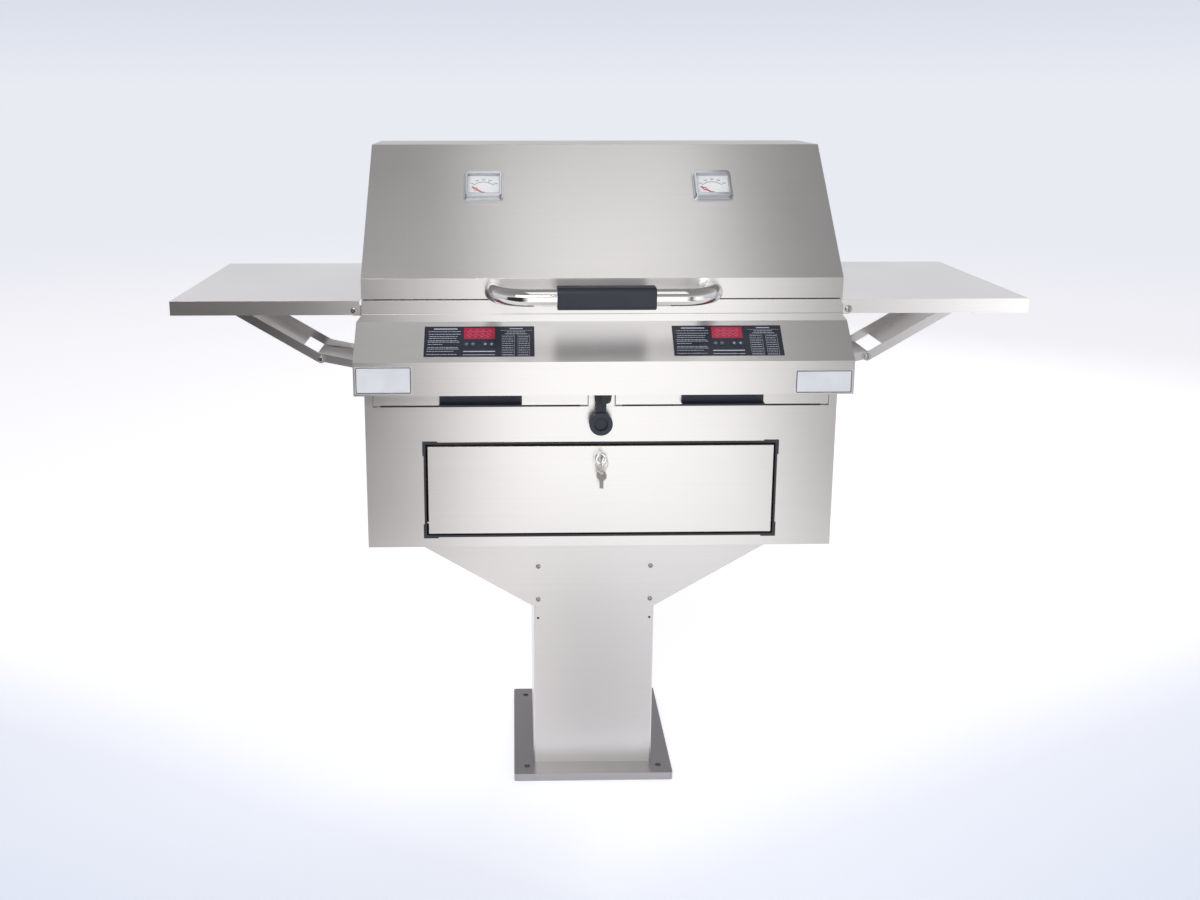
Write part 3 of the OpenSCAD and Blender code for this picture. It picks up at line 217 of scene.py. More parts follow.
def card_paint(name, strength, stops):
    """Glowing card whose shade runs across it, from stops over its width."""
    material, t = new_material(name)
    across = add(t, "ShaderNodeSeparateXYZ", {0: add(t, "ShaderNodeTexCoord").outputs["Object"]})
    place = add(t, "ShaderNodeMapRange", {"Value": across.outputs["X"], "From Min": CARD_MIDDLE - CARD_W / 2,
                                          "From Max": CARD_MIDDLE + CARD_W / 2})
    light = add(t, "ShaderNodeEmission", {"Color": ramp(t, place.outputs[0], stops), "Strength": strength})
    add(t, "ShaderNodeOutputMaterial", {"Surface": light.outputs[0]})
    return material


front_paint = card_paint("front_card_paint", 1.5, [
    (0.0, "#2E2A28"), (0.360, "#2E2A28"), (0.40, "#A8A5A5"), (0.44, "#FFFFFF"), (0.565, "#FFFFFF"),
    (0.605, "#B2B0B0"), (0.638, "#403D3D"), (0.68, "#D0D0D2"), (0.73, "#FFFFFF"), (1.0, "#E0E0E2"),
])
foot_paint = card_paint("foot_card_paint", 1.0, [
    (0.0, "#FFFFFF"), (0.40, "#FFFFFF"), (0.448, "#F8F4F6"), (0.470, "#D9D8DA"), (0.482, "#DCDCDE"),
    (0.50, "#EAEAEC"), (0.56, "#F6F6F8"), (1.0, "#FFFFFF"),
])
for name, height, y, z, turn, paint in (
    ("front_card_upright", CARD_TOP, CARD_Y, CARD_TOP / 2, 90, front_paint),
    ("front_card_floor", CARD_FLOOR, CARD_Y + CARD_FLOOR / 2, CARD_LIFT, 0, front_paint),
    ("foot_card", FOOT_CARD, CARD_Y + CARD_FLOOR + FOOT_CARD / 2, CARD_LIFT, 0, foot_paint),
):
    bpy.ops.mesh.primitive_plane_add(size=1, location=(CARD_MIDDLE, y, z),
                                     rotation=(math.radians(turn), 0, 0))
    card = bpy.context.object
    card.name = name
    card.scale = (CARD_W, height, 1)
    bpy.ops.object.transform_apply(location=True, rotation=True, scale=True)
    card.data.materials.append(paint)
    card.visible_camera = card.visible_diffuse = card.visible_shadow = card.visible_transmission = False


# Base plate
# Stainless skirted plate, folded down all round and left with an open corner seam.
# Its steel is coloured darker than the other sheet, a painted shade for its place under the cabinet; its
# belt-ground top is darker still than the walls, because it mirrors the underside of the cabinet.
GRIT, GRIT_LENGTH = 0.00065, 0.07        # spacing and length of the hairline scratches
STREAK, STREAK_LENGTH = 0.0038, 0.45     # the same for the broader bands that show from afar
SCRATCH = 0.00003                        # depth of the hairlines
SHADE = 0.014                            # how far the bands lighten and darken the steel
DULLER, GLOSSIER = 0.025, 0.012          # how far the roughness drifts up and down
SIDE_FACE = 0.7                          # a normal with more than this along X is a side's


def brushed_steel(name, colour, roughness, stretch=0.0):
    """Stainless sheet, belt-ground: hairlines run sideways and smear mirrored light across them."""
    material, t = new_material(name)
    coord = add(t, "ShaderNodeTexCoord")
    facing = add(t, "ShaderNodeSeparateXYZ", {0: coord.outputs["Normal"]})
    sideways = add(t, "ShaderNodeMath", {0: facing.outputs["X"]}, operation="ABSOLUTE")
    sideways = add(t, "ShaderNodeMath", {0: sideways.outputs[0], 1: SIDE_FACE}, operation="GREATER_THAN")

    def grain(spacing, length):
        fine, long = 1 / spacing, 1 / length
        front = add(t, "ShaderNodeMapping", {"Vector": coord.outputs["Object"], "Scale": (long, fine, fine)})
        side = add(t, "ShaderNodeMapping", {"Vector": coord.outputs["Object"], "Scale": (fine, long, fine)})
        turned_to = add(t, "ShaderNodeMix", {0: sideways.outputs[0], 4: front.outputs[0], 5: side.outputs[0]},
                        data_type="VECTOR")
        return add(t, "ShaderNodeTexNoise", {"Vector": turned_to.outputs[1], "Scale": 1.0, "Detail": 3.0,
                                             "Roughness": 0.6}).outputs["Fac"]

    hairlines = grain(GRIT, GRIT_LENGTH)
    streaks = grain(STREAK, STREAK_LENGTH)
    clouds = add(t, "ShaderNodeTexNoise", {"Vector": coord.outputs["Object"], "Scale": 4.0, "Detail": 2.0})
    tone = add(t, "ShaderNodeMapRange", {"Value": streaks, "From Min": 0.3, "From Max": 0.7,
                                         "To Min": 1 - SHADE, "To Max": 1 + SHADE})
    tint = add(t, "ShaderNodeVectorMath", {0: linear(colour)[:3], "Scale": tone.outputs[0]},
               operation="SCALE")
    rough = add(t, "ShaderNodeMapRange", {"Value": clouds.outputs["Fac"], "From Min": 0.3, "From Max": 0.7,
                                          "To Min": roughness - GLOSSIER, "To Max": roughness + DULLER})
    outward = add(t, "ShaderNodeNewGeometry").outputs["Normal"]
    across = add(t, "ShaderNodeVectorMath", {0: outward, 1: (1, 0, 0)}, operation="CROSS_PRODUCT")
    tangent = add(t, "ShaderNodeMix", {0: sideways.outputs[0], 4: across.outputs[0], 5: (0, 0, 1)},
                  data_type="VECTOR")
    relief = add(t, "ShaderNodeBump", {"Height": hairlines, "Strength": 1.0, "Distance": SCRATCH})
    steel = add(t, "ShaderNodeBsdfPrincipled", {
        "Base Color": tint.outputs[0], "Metallic": 1.0, "Roughness": rough.outputs[0],
        "Anisotropic": stretch, "Tangent": tangent.outputs[1], "Normal": relief.outputs[0],
    })
    add(t, "ShaderNodeOutputMaterial", {"Surface": steel.outputs[0]})
    return material


def finish_piece(piece, finish, body, slot, *nodes):
    """Gives a finished piece its material and its body, and hides the CAD nodes that it stands for."""
    piece.data.name = piece.name
    piece.data.materials.clear()
    piece.data.materials.append(finish)
    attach(piece, body)
    if nodes:
        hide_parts(*nodes)
    return piece


def pick(piece):
    """Makes a piece the only one selected, and the active one."""
    bpy.ops.object.select_all(action="DESELECT")
    piece.select_set(True)
    bpy.context.view_layer.objects.active = piece


def smooth(piece, angle=40):
    """Soft shading over small angles, with the large flats kept flat."""
    pick(piece)
    bpy.ops.object.shade_smooth_by_angle(angle=math.radians(angle))
    weighted = piece.modifiers.new("flats", "WEIGHTED_NORMAL")
    weighted.keep_sharp = True
    bpy.ops.object.modifier_apply(modifier=weighted.name)


WELD = 0.000002       # corners closer than this are one corner
FLAT = 0.2            # faces that meet at less than this, in degrees, are one face


def dress(node, name, edge, finish, slot, steps=2, angle=30):
    """A copy of a CAD piece with its corners broken, edge metres wide, as deburred metal has them."""
    source = frame["nodes"][node]
    piece = bpy.data.objects.new(name, source.data.copy())
    scene.collection.objects.link(piece)
    pick(piece)
    bpy.ops.object.mode_set(mode="EDIT")
    bpy.ops.mesh.select_all(action="SELECT")
    bpy.ops.mesh.remove_doubles(threshold=WELD)
    bpy.ops.mesh.dissolve_limited(angle_limit=math.radians(FLAT))
    bpy.ops.object.mode_set(mode="OBJECT")
    if edge:
        corner = piece.modifiers.new("corner", "BEVEL")
        corner.width = edge
        corner.segments = steps
        corner.limit_method = "ANGLE"
        corner.angle_limit = math.radians(angle)
        corner.use_clamp_overlap = True
        bpy.ops.object.modifier_apply(modifier=corner.name)
    smooth(piece)
    return finish_piece(piece, finish, source["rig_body"], slot, node)


# Painted shade: the plate's stainless is coloured darker than the sheet steel above it.
plate_steel_painted_shade = brushed_steel("stainless_plate_ground_painted_shade", "#A9A7A8", 0.3)
dress("base_plate", "base_plate_skirted", 0.0012, plate_steel_painted_shade, "stainless", steps=3)


# Column and saddle
# Square welded tube with rounded corners, and a flared saddle of two plates and two sloping cheeks.
# Stainless sheet with a fine sideways grain, screwed to the column through the plates.
sheet_steel = brushed_steel("stainless_sheet_brushed", "#DAD8D7", 0.3, stretch=0.6)
dress("column", "column_tube", 0.0006, sheet_steel, "stainless")
dress("saddle_plates", "saddle_plates_sheet", 0.0005, sheet_steel, "stainless")
dress("saddle_cheeks", "saddle_cheeks_sheet", 0.0005, sheet_steel, "stainless")


# Screws and rivets
# Stainless button-head screws with a hexagon socket, and small domed blind rivets.
# Both stand on the sheet. The screw heads are polished, their steel coloured darker than the sheet as painted
# shade, and their sockets are dark; the rivets are coloured near black all over, a painted shade for the
# holes they stand in.
def polished_steel(name, colour, roughness, wear=0.02):
    """Bright stainless or chrome: a near mirror with faint handling marks."""
    material, t = new_material(name)
    coord = add(t, "ShaderNodeTexCoord")
    marks = add(t, "ShaderNodeTexNoise", {"Vector": coord.outputs["Object"], "Scale": 220.0, "Detail": 4.0})
    rough = add(t, "ShaderNodeMapRange", {"Value": marks.outputs["Fac"], "To Min": roughness - wear,
                                          "To Max": roughness + wear})
    relief = add(t, "ShaderNodeBump", {"Height": marks.outputs["Fac"], "Strength": 0.25, "Distance": 0.00003})
    metal = add(t, "ShaderNodeBsdfPrincipled", {
        "Base Color": linear(colour), "Metallic": 1.0, "Roughness": rough.outputs[0],
        "Normal": relief.outputs[0],
    })
    add(t, "ShaderNodeOutputMaterial", {"Surface": metal.outputs[0]})
    return material


def turned(name, profile, sides):
    """A lathe-turned shape on the Z axis, from (radius, height) points."""
    bpy.ops.object.select_all(action="DESELECT")
    bpy.ops.mesh.primitive_plane_add(size=0.001, enter_editmode=True)
    bpy.ops.mesh.merge(type="CENTER")
    bpy.ops.transform.translate(value=(profile[0][0], 0, profile[0][1]))
    for (r0, z0), (r1, z1) in zip(profile, profile[1:]):
        bpy.ops.mesh.extrude_vertices_move(TRANSFORM_OT_translate={"value": (r1 - r0, 0, z1 - z0)})
    bpy.ops.mesh.select_all(action="SELECT")
    bpy.ops.mesh.spin(steps=sides, angle=math.tau, center=(0, 0, 0), axis=(0, 0, 1))
    bpy.ops.mesh.select_all(action="SELECT")
    bpy.ops.mesh.remove_doubles(threshold=WELD)
    bpy.ops.mesh.normals_make_consistent(inside=False)
    bpy.ops.object.mode_set(mode="OBJECT")
    piece = bpy.context.object
    piece.name = name
    return piece


def lay(piece, matrix):
    """Moves a piece's mesh by a matrix and leaves its object at the origin."""
    pick(piece)
    piece.matrix_world = matrix @ piece.matrix_world
    bpy.ops.object.transform_apply(location=True, rotation=True, scale=True)


def join(name, pieces):
    """Joins meshes into one piece."""
    bpy.ops.object.select_all(action="DESELECT")
    for piece in pieces:
        piece.select_set(True)
    bpy.context.view_layer.objects.active = pieces[0]
    if len(pieces) > 1:
        bpy.ops.object.join()
    pieces[0].name = name
    return pieces[0]


def copies(model, matrices, name):
    """A modelled shape copied to each place, as one piece."""
    made = []
    for matrix in matrices:
        twin = bpy.data.objects.new(name, model.data.copy())
        scene.collection.objects.link(twin)
        lay(twin, matrix)
        made.append(twin)
    bpy.data.objects.remove(model)
    return join(name, made)


def solids(node):
    """Lowest and highest corners of each separate solid in a CAD node."""
    mesh = frame["nodes"][node].data
    owner = list(range(len(mesh.vertices)))
    places = {}
    for v in mesh.vertices:
        key = tuple(round(c, 6) for c in v.co)
        owner[v.index] = places.setdefault(key, v.index)

    def root(i):
        while owner[i] != i:
            owner[i] = owner[owner[i]]
            i = owner[i]
        return i

    for face in mesh.polygons:
        first = root(face.vertices[0])
        for i in face.vertices[1:]:
            owner[root(i)] = first
    groups = {}
    for v in mesh.vertices:
        groups.setdefault(root(v.index), []).append(v.co)
    boxes = [(Vector(map(min, zip(*g))), Vector(map(max, zip(*g)))) for g in groups.values()]
    return sorted(boxes, key=lambda b: tuple(round(c, 4) for c in b[0]))


def fixing_place(lo, hi, outward):
    """Puts a fixing modelled head up on Z at the outer end of a CAD fixing."""
    middle = (lo + hi) / 2
    axis = max(range(3), key=lambda i: abs(outward[i]))
    middle[axis] = hi[axis] if outward[axis] > 0 else lo[axis]
    return Matrix.Translation(middle) @ outward.to_track_quat("Z", "Y").to_matrix().to_4x4()


# Painted shade: the fasteners' polished stainless is coloured darker than the sheet, for the dark reflections
# round their heads.
bright = polished_steel("stainless_fastener_painted_shade", "#A3A1A0", 0.2)
HEAD_RISE, SCREW_SHANK = 0.0026, 0.0029      # height of the screw's head, radius of its shank
RIVET_RISE, RIVET_SHANK = 0.0012, 0.0016     # the same for the rivet
SCREW_LEAST = 0.003                          # a head of a larger radius is a screw's
screws, rivets = [], []
for lo, hi in solids("pan_screws"):
    size = hi - lo
    axis = max(range(3), key=lambda i: size[i])
    outward = Vector((0, 0, 0))
    outward[axis] = 1 if (lo + hi)[axis] > 0 else -1
    radius = sorted(size)[1] / 2
    kind = screws if radius > SCREW_LEAST else rivets
    kind.append((fixing_place(lo, hi, outward), radius, max(size)))

_, r, length = screws[0]
model = turned("button_screw", [
    (0.0, -length), (SCREW_SHANK, -length), (SCREW_SHANK, -HEAD_RISE), (r, -HEAD_RISE),
    (r, -HEAD_RISE * 0.75), (r * 0.93, -HEAD_RISE * 0.45), (r * 0.78, -HEAD_RISE * 0.17),
    (r * 0.56, -0.00005),
    (r * 0.5, 0.0), (r * 0.46, -0.0003), (r * 0.42, -HEAD_RISE * 0.75), (0.0, -HEAD_RISE * 0.8),
], 36)
smooth(model, 50)
finish_piece(copies(model, [m for m, _, _ in screws], "button_screws"), bright, "frame", "zinc",
             "pan_screws")
_, r, length = rivets[0]
model = turned("blind_rivet", [
    (0.0, -length), (RIVET_SHANK, -length), (RIVET_SHANK, -RIVET_RISE), (r, -RIVET_RISE),
    (r * 0.9, -0.0006),
    (r * 0.6, -0.0001), (r * 0.42, 0.0), (r * 0.36, -0.0006), (0.0, -0.0008),
], 24)
smooth(model, 50)
# Painted shade: the rivets are coloured near black for the shade of the small holes they stand in.
rivet_shade_paint = polished_steel("rivet_painted_shade_dark", "#4A4A4C", 0.35)
finish_piece(copies(model, [m for m, _, _ in rivets], "column_rivets"), rivet_shade_paint, "frame", "zinc")


# Cable gland
# Moulded nylon gland low in the rear of the column, where the feed cable enters.
def moulded(name, colour, roughness, grain=0.0006, depth=0.00002):
    """Injection-moulded plastic or rubber with a fine spark-eroded texture."""
    material, t = new_material(name)
    coord = add(t, "ShaderNodeTexCoord")
    texture = add(t, "ShaderNodeTexNoise", {"Vector": coord.outputs["Object"], "Scale": 1 / grain,
                                            "Detail": 2.0})
    patches = add(t, "ShaderNodeTexNoise", {"Vector": coord.outputs["Object"], "Scale": 35.0, "Detail": 3.0})
    rough = add(t, "ShaderNodeMapRange", {"Value": patches.outputs["Fac"], "From Min": 0.3, "From Max": 0.7,
                                          "To Min": roughness - 0.05, "To Max": roughness + 0.06})
    base = linear(colour)
    paler = tuple(min(1, c * 1.25 + 0.002) for c in base[:3]) + (1,)
    tone = add(t, "ShaderNodeMix", {0: patches.outputs["Fac"], 6: base, 7: paler}, data_type="RGBA")
    relief = add(t, "ShaderNodeBump", {"Height": texture.outputs["Fac"], "Strength": 0.8, "Distance": depth})
    plastic = add(t, "ShaderNodeBsdfPrincipled", {
        "Base Color": tone.outputs[2], "Roughness": rough.outputs[0], "IOR": 1.5,
        "Normal": relief.outputs[0],
    })
    add(t, "ShaderNodeOutputMaterial", {"Surface": plastic.outputs[0]})
    return material


nylon = moulded("nylon_black_moulded", "#17191C", 0.42)
dress("cable_gland", "cable_gland_nylon", 0.0004, nylon, "dark_plastic")


# Cabinet
# Folded stainless shell and a separate front panel, spot-welded, with a deck on top.
# The front is the most handled face; it keeps a soft sideways grain and bright sheared edges.
dress("cabinet_shell", "cabinet_shell_sheet", 0.0006, sheet_steel, "stainless")
dress("cabinet_front", "cabinet_front_sheet", 0.0006, sheet_steel, "stainless")


# Door, gasket and pins
# Folded tray-shaped leaf that drops forward on two pins; black rubber gasket round its opening.
dress("door", "door_leaf_sheet", 0.0009, sheet_steel, "stainless", steps=3)
rubber = moulded("epdm_rubber_extruded", "#26272E", 0.55)
dress("door_gasket", "door_gasket_rubber", 0.0006, rubber, "rubber")
dress("door_hinge_pins", "door_pins_turned", 0.0004, bright, "zinc")


# Lock and keys
# Chromed cam lock with its key in the plug, a split ring and a spare key hanging on it.
# Keys are nickel-plated brass, milled along the blade and blanked at the bow.
chrome = polished_steel("chrome_plated", "#D9D9DB", 0.09)
nickel = polished_steel("nickel_plated_key", "#DCD9D3", 0.3)
dress("lock_body", "lock_body_chromed", 0.0012, chrome, "zinc", steps=4)
dress("lock_plug", "lock_plug_turned", 0.0004, nickel, "zinc")
dress("key", "key_in_lock", 0.0004, nickel, "brass_key", steps=3)
dress("key_ring", "key_ring_wire", 0, chrome, "zinc")
dress("spare_key", "spare_key_blank", 0.0004, nickel, "brass_key", steps=3)


# Grease trays, pulls and runners
# Folded stainless trays on galvanised runners. Each has a black powder-coated pull on two rivets.
powder_coat = moulded("powder_coat_blue_black", "#222838", 0.4, grain=0.0011, depth=0.00004)
zinc_coat = polished_steel("galvanised_sheet", "#A9ACAE", 0.38, wear=0.08)
for side in ("left", "right"):
    dress(f"grease_tray_{side}", f"grease_tray_{side}_sheet", 0.0004, sheet_steel, "stainless")
    dress(f"tray_pull_{side}", f"tray_pull_{side}_coated", 0.0008, powder_coat, "black_pull", steps=3)
dress("tray_runners", "tray_runners_folded", 0.0003, zinc_coat, "galvanised")


# Firebox, elements and grates
# Welded stainless firebox with a proud front band. Inside, sheathed heating elements on flat bars,
# dull from heat, and a bar grate over each zone, straw-brown where it has been hot.
def heated_steel(name, colour, hot_colour, roughness):
    """Stainless that has been hot: straw and brown oxide tints over a dulled surface."""
    material, t = new_material(name)
    coord = add(t, "ShaderNodeTexCoord")
    heat = add(t, "ShaderNodeTexNoise", {"Vector": coord.outputs["Object"], "Scale": 9.0, "Detail": 4.0})
    fine = add(t, "ShaderNodeTexNoise", {"Vector": coord.outputs["Object"], "Scale": 700.0, "Detail": 3.0})
    tint = ramp(t, heat.outputs["Fac"], [(0.35, colour), (0.7, hot_colour)])
    relief = add(t, "ShaderNodeBump", {"Height": fine.outputs["Fac"], "Strength": 0.7, "Distance": 0.00005})
    steel = add(t, "ShaderNodeBsdfPrincipled", {
        "Base Color": tint, "Metallic": 1.0, "Roughness": roughness, "Normal": relief.outputs[0],
    })
    add(t, "ShaderNodeOutputMaterial", {"Surface": steel.outputs[0]})
    return material


dress("firebox", "firebox_welded", 0.0006, sheet_steel, "stainless")
element_sheath = heated_steel("incoloy_sheath_oxidised", "#4B4744", "#5B4A3C", 0.48)
grate_steel = heated_steel("stainless_grate_heat_tinted", "#A39C96", "#8C7358", 0.34)
for side in ("left", "right"):
    dress(f"heating_element_{side}", f"heating_element_{side}_sheath", 0, element_sheath, "element")
    dress(f"cooking_grate_{side}", f"cooking_grate_{side}_bars", 0.0008, grate_steel, "grate")
dress("element_clips", "element_bars_flat", 0.0004, grate_steel, "galvanised")


# Control housing
# Folded stainless box across the front; its panel slopes back towards the rim of the firebox.
# It is a little wider than the body, and its ends are closed.
dress("control_housing", "control_housing_sheet", 0.0008, sheet_steel, "stainless", steps=3)


# Overlays, displays, buttons and boards
# Navy polyester overlays printed in pale ink with columns of fine lines, a red numeric display
# and four push buttons. The print is blocks and rules only, apart from ON, OFF and two arrows.
INK = 0.00006                            # thickness of the printed marks
LINE_OVER_CAPS = 1.4                     # a font's line height over its capitals
LETTER_WELD = 0.0000005                  # corners of letters closer than this are one
WORD_LEAST, WORD_MOST, WORD_GAP = 1.4, 5.6, 0.85
LINE_REST = 0.8                          # a rest of a line shorter than this stays bare
PANEL_FOOT = Vector((0, -0.293, 0.8646))
PANEL_UP = (Vector((0, -0.237, 0.9212)) - PANEL_FOOT).normalized()


def tilted(centre, up):
    """Frame of a sloping face: X along it, Y up the slope, Z out of it."""
    side = Vector((1, 0, 0))
    rows = Matrix((side, up, side.cross(up))).transposed()
    return Matrix.Translation(centre) @ rows.to_4x4()


def outer_face(node, place):
    """Height of a CAD node's outermost face above a sloping frame's origin."""
    inverse = place.inverted()
    return max((inverse @ v.co).z for v in frame["nodes"][node].data.vertices)


def slabs(name, rows):
    """Thin printed marks as one mesh, from (x, y, width, height) in millimetres."""
    bpy.ops.object.select_all(action="DESELECT")
    for i, (x, y, w, h) in enumerate(rows):
        bpy.ops.mesh.primitive_cube_add(
            size=1, enter_editmode=i == 0, location=(x / 1000, y / 1000, INK / 2),
            scale=(w / 1000, h / 1000, INK),
        )
    bpy.ops.object.mode_set(mode="OBJECT")
    piece = bpy.context.object
    piece.name = name
    return piece


def lettering(name, text, height, x, y):
    """Plain sans-serif numbers or words as a thin closed mesh, centred on x, y in millimetres."""
    bpy.ops.object.select_all(action="DESELECT")
    bpy.ops.object.text_add(location=(x / 1000, y / 1000, INK / 2))
    label = bpy.context.object
    label.data.body = text
    label.data.size = height / 1000 * LINE_OVER_CAPS
    label.data.align_x = "CENTER"
    label.data.align_y = "CENTER"
    label.data.extrude = INK / 2
    label.data.resolution_u = 3
    bpy.ops.object.convert(target="MESH")
    label = bpy.context.object
    bpy.ops.object.transform_apply(location=True, rotation=True, scale=True)
    bpy.ops.object.mode_set(mode="EDIT")
    bpy.ops.mesh.select_all(action="SELECT")
    bpy.ops.mesh.remove_doubles(threshold=LETTER_WELD)
    bpy.ops.mesh.normals_make_consistent(inside=False)
    bpy.ops.object.mode_set(mode="OBJECT")
    label.name = name
    return label


def fine_print(lines, height, seed):
    """Lines of print as word-long dashes, from (x0, x1, y) in millimetres."""
    draw = random.Random(seed)
    rows = []
    for x0, x1, y in lines:
        x = x0
        while x < x1 - LINE_REST:
            w = min(draw.uniform(WORD_LEAST, WORD_MOST), x1 - x)
            rows.append((x + w / 2, y, w, height))
            x += w + WORD_GAP
    return rows


film = moulded("polyester_overlay_navy", "#1B1E2C", 0.3, grain=0.0009, depth=0.000012)
ink = moulded("screen_ink_pale_grey", "#B9BDCB", 0.45)
display_red = moulded("display_window_crimson", "#A3203F", 0.16, depth=0.000002)
segment_red = moulded("display_segments_unlit", "#C4506C", 0.3, depth=0.000002)
dress("overlays", "overlays_film", 0.0002, film, "overlay")
dress("displays", "display_windows", 0.0003, display_red, "display")

LEFT_PRINT = [(-85.1, -31.0, 19.5), (-84.4, -30.4, 14.3), (-84.4, -35.7, 9.8), (-84.4, -38.4, 6.1),
              (-85.8, -35.7, 1.6), (-85.8, -31.7, -1.3), (-85.8, -60.5, -5.8), (-85.8, -35.7, -11.7),
              (-87.0, -33.7, -14.7), (-87.0, -42.4, -19.2), (-87.0, -37.1, -25.1)]
RIGHT_PRINT = [(45.9, 76.7, 18.4), (43.2, 79.3, 14.7)]
TABLES = [(38.0, 58.5), (64.5, 83.8)]
PRINT_H, RULE = 0.9, 0.3                 # height of a line of print, width of a table's rule
TABLE_TOP, TABLE_FOOT, TABLE_EDGE = 12.0, -28.0, 1.5
TABLE_LINES, TABLE_FIRST, TABLE_PITCH = 9, 8.8, 4.3
HEADINGS = [(-56.8, 24.6, 39.5, 2.0), (61.7, 24.9, 22.1, 1.5), (61.6, 21.4, 52.8, 0.35)]
KEY_CAPTIONS = [(0.0, -19.5, 53.0, 1.7), (-0.3, -25.9, 53.2, 0.9)]
marks = fine_print(LEFT_PRINT, PRINT_H, 3) + fine_print(RIGHT_PRINT, PRINT_H, 5)
marks += HEADINGS + KEY_CAPTIONS
for x0, x1 in TABLES:
    middle, wide, tall = (x0 + x1) / 2, x1 - x0, TABLE_TOP - TABLE_FOOT + RULE
    marks += [(middle, TABLE_TOP, wide, RULE), (middle, TABLE_FOOT, wide, RULE)]
    marks += [(x, (TABLE_TOP + TABLE_FOOT) / 2, RULE, tall) for x in (x0, x1)]
    lines = [(x0 + TABLE_EDGE, x1 - TABLE_EDGE, TABLE_FIRST - TABLE_PITCH * i) for i in range(TABLE_LINES)]
    marks += fine_print(lines, PRINT_H, 7 + int(x0))

SEGMENTS = [(0, 1, 0), (0, 0, 0), (0, -1, 0), (-0.5, 0.5, 90), (0.5, 0.5, 90), (-0.5, -0.5, 90),
            (0.5, -0.5, 90)]
DIGIT_W, DIGIT_H, DIGIT_PITCH, DIGIT_LEAN = 5.6, 6.4, 10.4, 0.16
SEGMENT_W, SEGMENT_L = 0.0013, 0.0052


def digits(name, count):
    """Seven-segment figures with every segment unlit, leaning a little to the right."""
    bpy.ops.object.select_all(action="DESELECT")
    first = True
    for n in range(count):
        for x, y, turn in SEGMENTS:
            centre_x = (n - (count - 1) / 2) * DIGIT_PITCH + x * DIGIT_W + y * DIGIT_H * DIGIT_LEAN
            bpy.ops.mesh.primitive_cylinder_add(
                vertices=6, radius=0.5, depth=1, enter_editmode=first,
                location=(centre_x / 1000, y * DIGIT_H / 1000, INK / 2),
                rotation=(0, 0, math.radians(turn + 90 * (turn == 0))),
                scale=(SEGMENT_W, SEGMENT_L, INK),
            )
            first = False
    bpy.ops.object.mode_set(mode="OBJECT")
    piece = bpy.context.object
    piece.name = name
    return piece


BUTTONS = {"on": "ON", "off": "OFF", "up": "", "down": ""}
WORD_HEIGHT, ARROW_R = 2.1, 0.0022
cap_plastic = moulded("button_cap_grey", "#3A3E4E", 0.35)
for side, sign in (("left", -1), ("right", 1)):
    lo, hi = min(solids("overlays"), key=lambda b: -sign * (b[0].x + b[1].x))
    plain = tilted((lo + hi) / 2, PANEL_UP)
    on_film = plain @ Matrix.Translation((0, 0, outer_face("overlays", plain)))
    piece = slabs(f"overlay_print_{side}", marks)
    lay(piece, on_film)
    finish_piece(piece, ink, "frame", "overlay")

    lo, hi = min(solids("displays"), key=lambda b: -sign * (b[0].x + b[1].x))
    plain = tilted((lo + hi) / 2, PANEL_UP)
    piece = digits(f"display_digits_{side}", 4)
    lay(piece, plain @ Matrix.Translation((0, 0, outer_face("displays", plain))))
    finish_piece(piece, segment_red, "frame", "display")

    for key, word in BUTTONS.items():
        node = f"button_{key}_{side}"
        dress(node, f"{node}_cap", 0.0006, cap_plastic, "dark_plastic", steps=3)
        lo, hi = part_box(node)
        plain = tilted((Vector(lo) + Vector(hi)) / 2, PANEL_UP)
        if word:
            mark = lettering(f"{node}_mark", word, WORD_HEIGHT, 0, 0)
        else:
            bpy.ops.object.select_all(action="DESELECT")
            bpy.ops.mesh.primitive_cylinder_add(
                vertices=3, radius=ARROW_R, depth=INK, location=(0, 0, INK / 2),
                rotation=(0, 0, 0 if key == "up" else math.pi))
            mark = bpy.context.object
            mark.name = f"{node}_mark"
        lay(mark, plain @ Matrix.Translation((0, 0, outer_face(node, plain))))
        finish_piece(mark, ink, frame["nodes"][node]["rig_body"], "dark_plastic")

solder_mask = moulded("solder_mask_green", "#1D4A31", 0.35)
dress("control_boards", "control_boards_printed", 0.0002, solder_mask, "board")


# Label plates
# Two bare plates on the upright face, satin white, each with a thin dark printed border.
foil = moulded("label_film_satin_white", "#DCDCDF", 0.34, depth=0.000004)
dress("label_plates", "label_plates_foil", 0.0001, foil, "label")
border_ink = moulded("label_border_ink", "#141418", 0.5)
LINE, INSET = 1.5, 1.6
borders = []
for lo, hi in solids("label_plates"):
    w, h = ((hi - lo).x * 1000 - 2 * INSET, (hi - lo).z * 1000 - 2 * INSET)
    border = slabs("border", [(0, h / 2, w, LINE), (0, -h / 2, w, LINE), (-w / 2, 0, LINE, h - LINE),
                              (w / 2, 0, LINE, h - LINE)])
    lay(border, tilted(Vector(((lo + hi).x / 2, lo.y, (lo + hi).z / 2)), Vector((0, 0, 1))))
    borders.append(border)
finish_piece(join("label_borders", borders), border_ink, "frame", "label")


# Power inlet and cap
# Moulded collar under the housing, and a soft rubber cap that hangs open on its own strap.
dress("socket", "inlet_collar_moulded", 0.0008, nylon, "dark_plastic", steps=3)
cap_rubber = moulded("cap_rubber_slate", "#1F2531", 0.5)
dress("socket_cap", "inlet_cap_rubber", 0.0012, cap_rubber, "rubber", steps=3)


# Lid
# One folded and welded stainless hood with an upright lip, a long slope and a flat top.
# The slope mirrors the studio ceiling, brighter in the middle; folds are small and bright.
lid_steel = brushed_steel("stainless_lid_brushed", "#D6D4D3", 0.3, stretch=0.6)
dress("lid_shell", "lid_shell_folded", 0.0014, lid_steel, "stainless", steps=3)
dress("lid_hinge_pins", "lid_pins_turned", 0.0004, bright, "zinc")


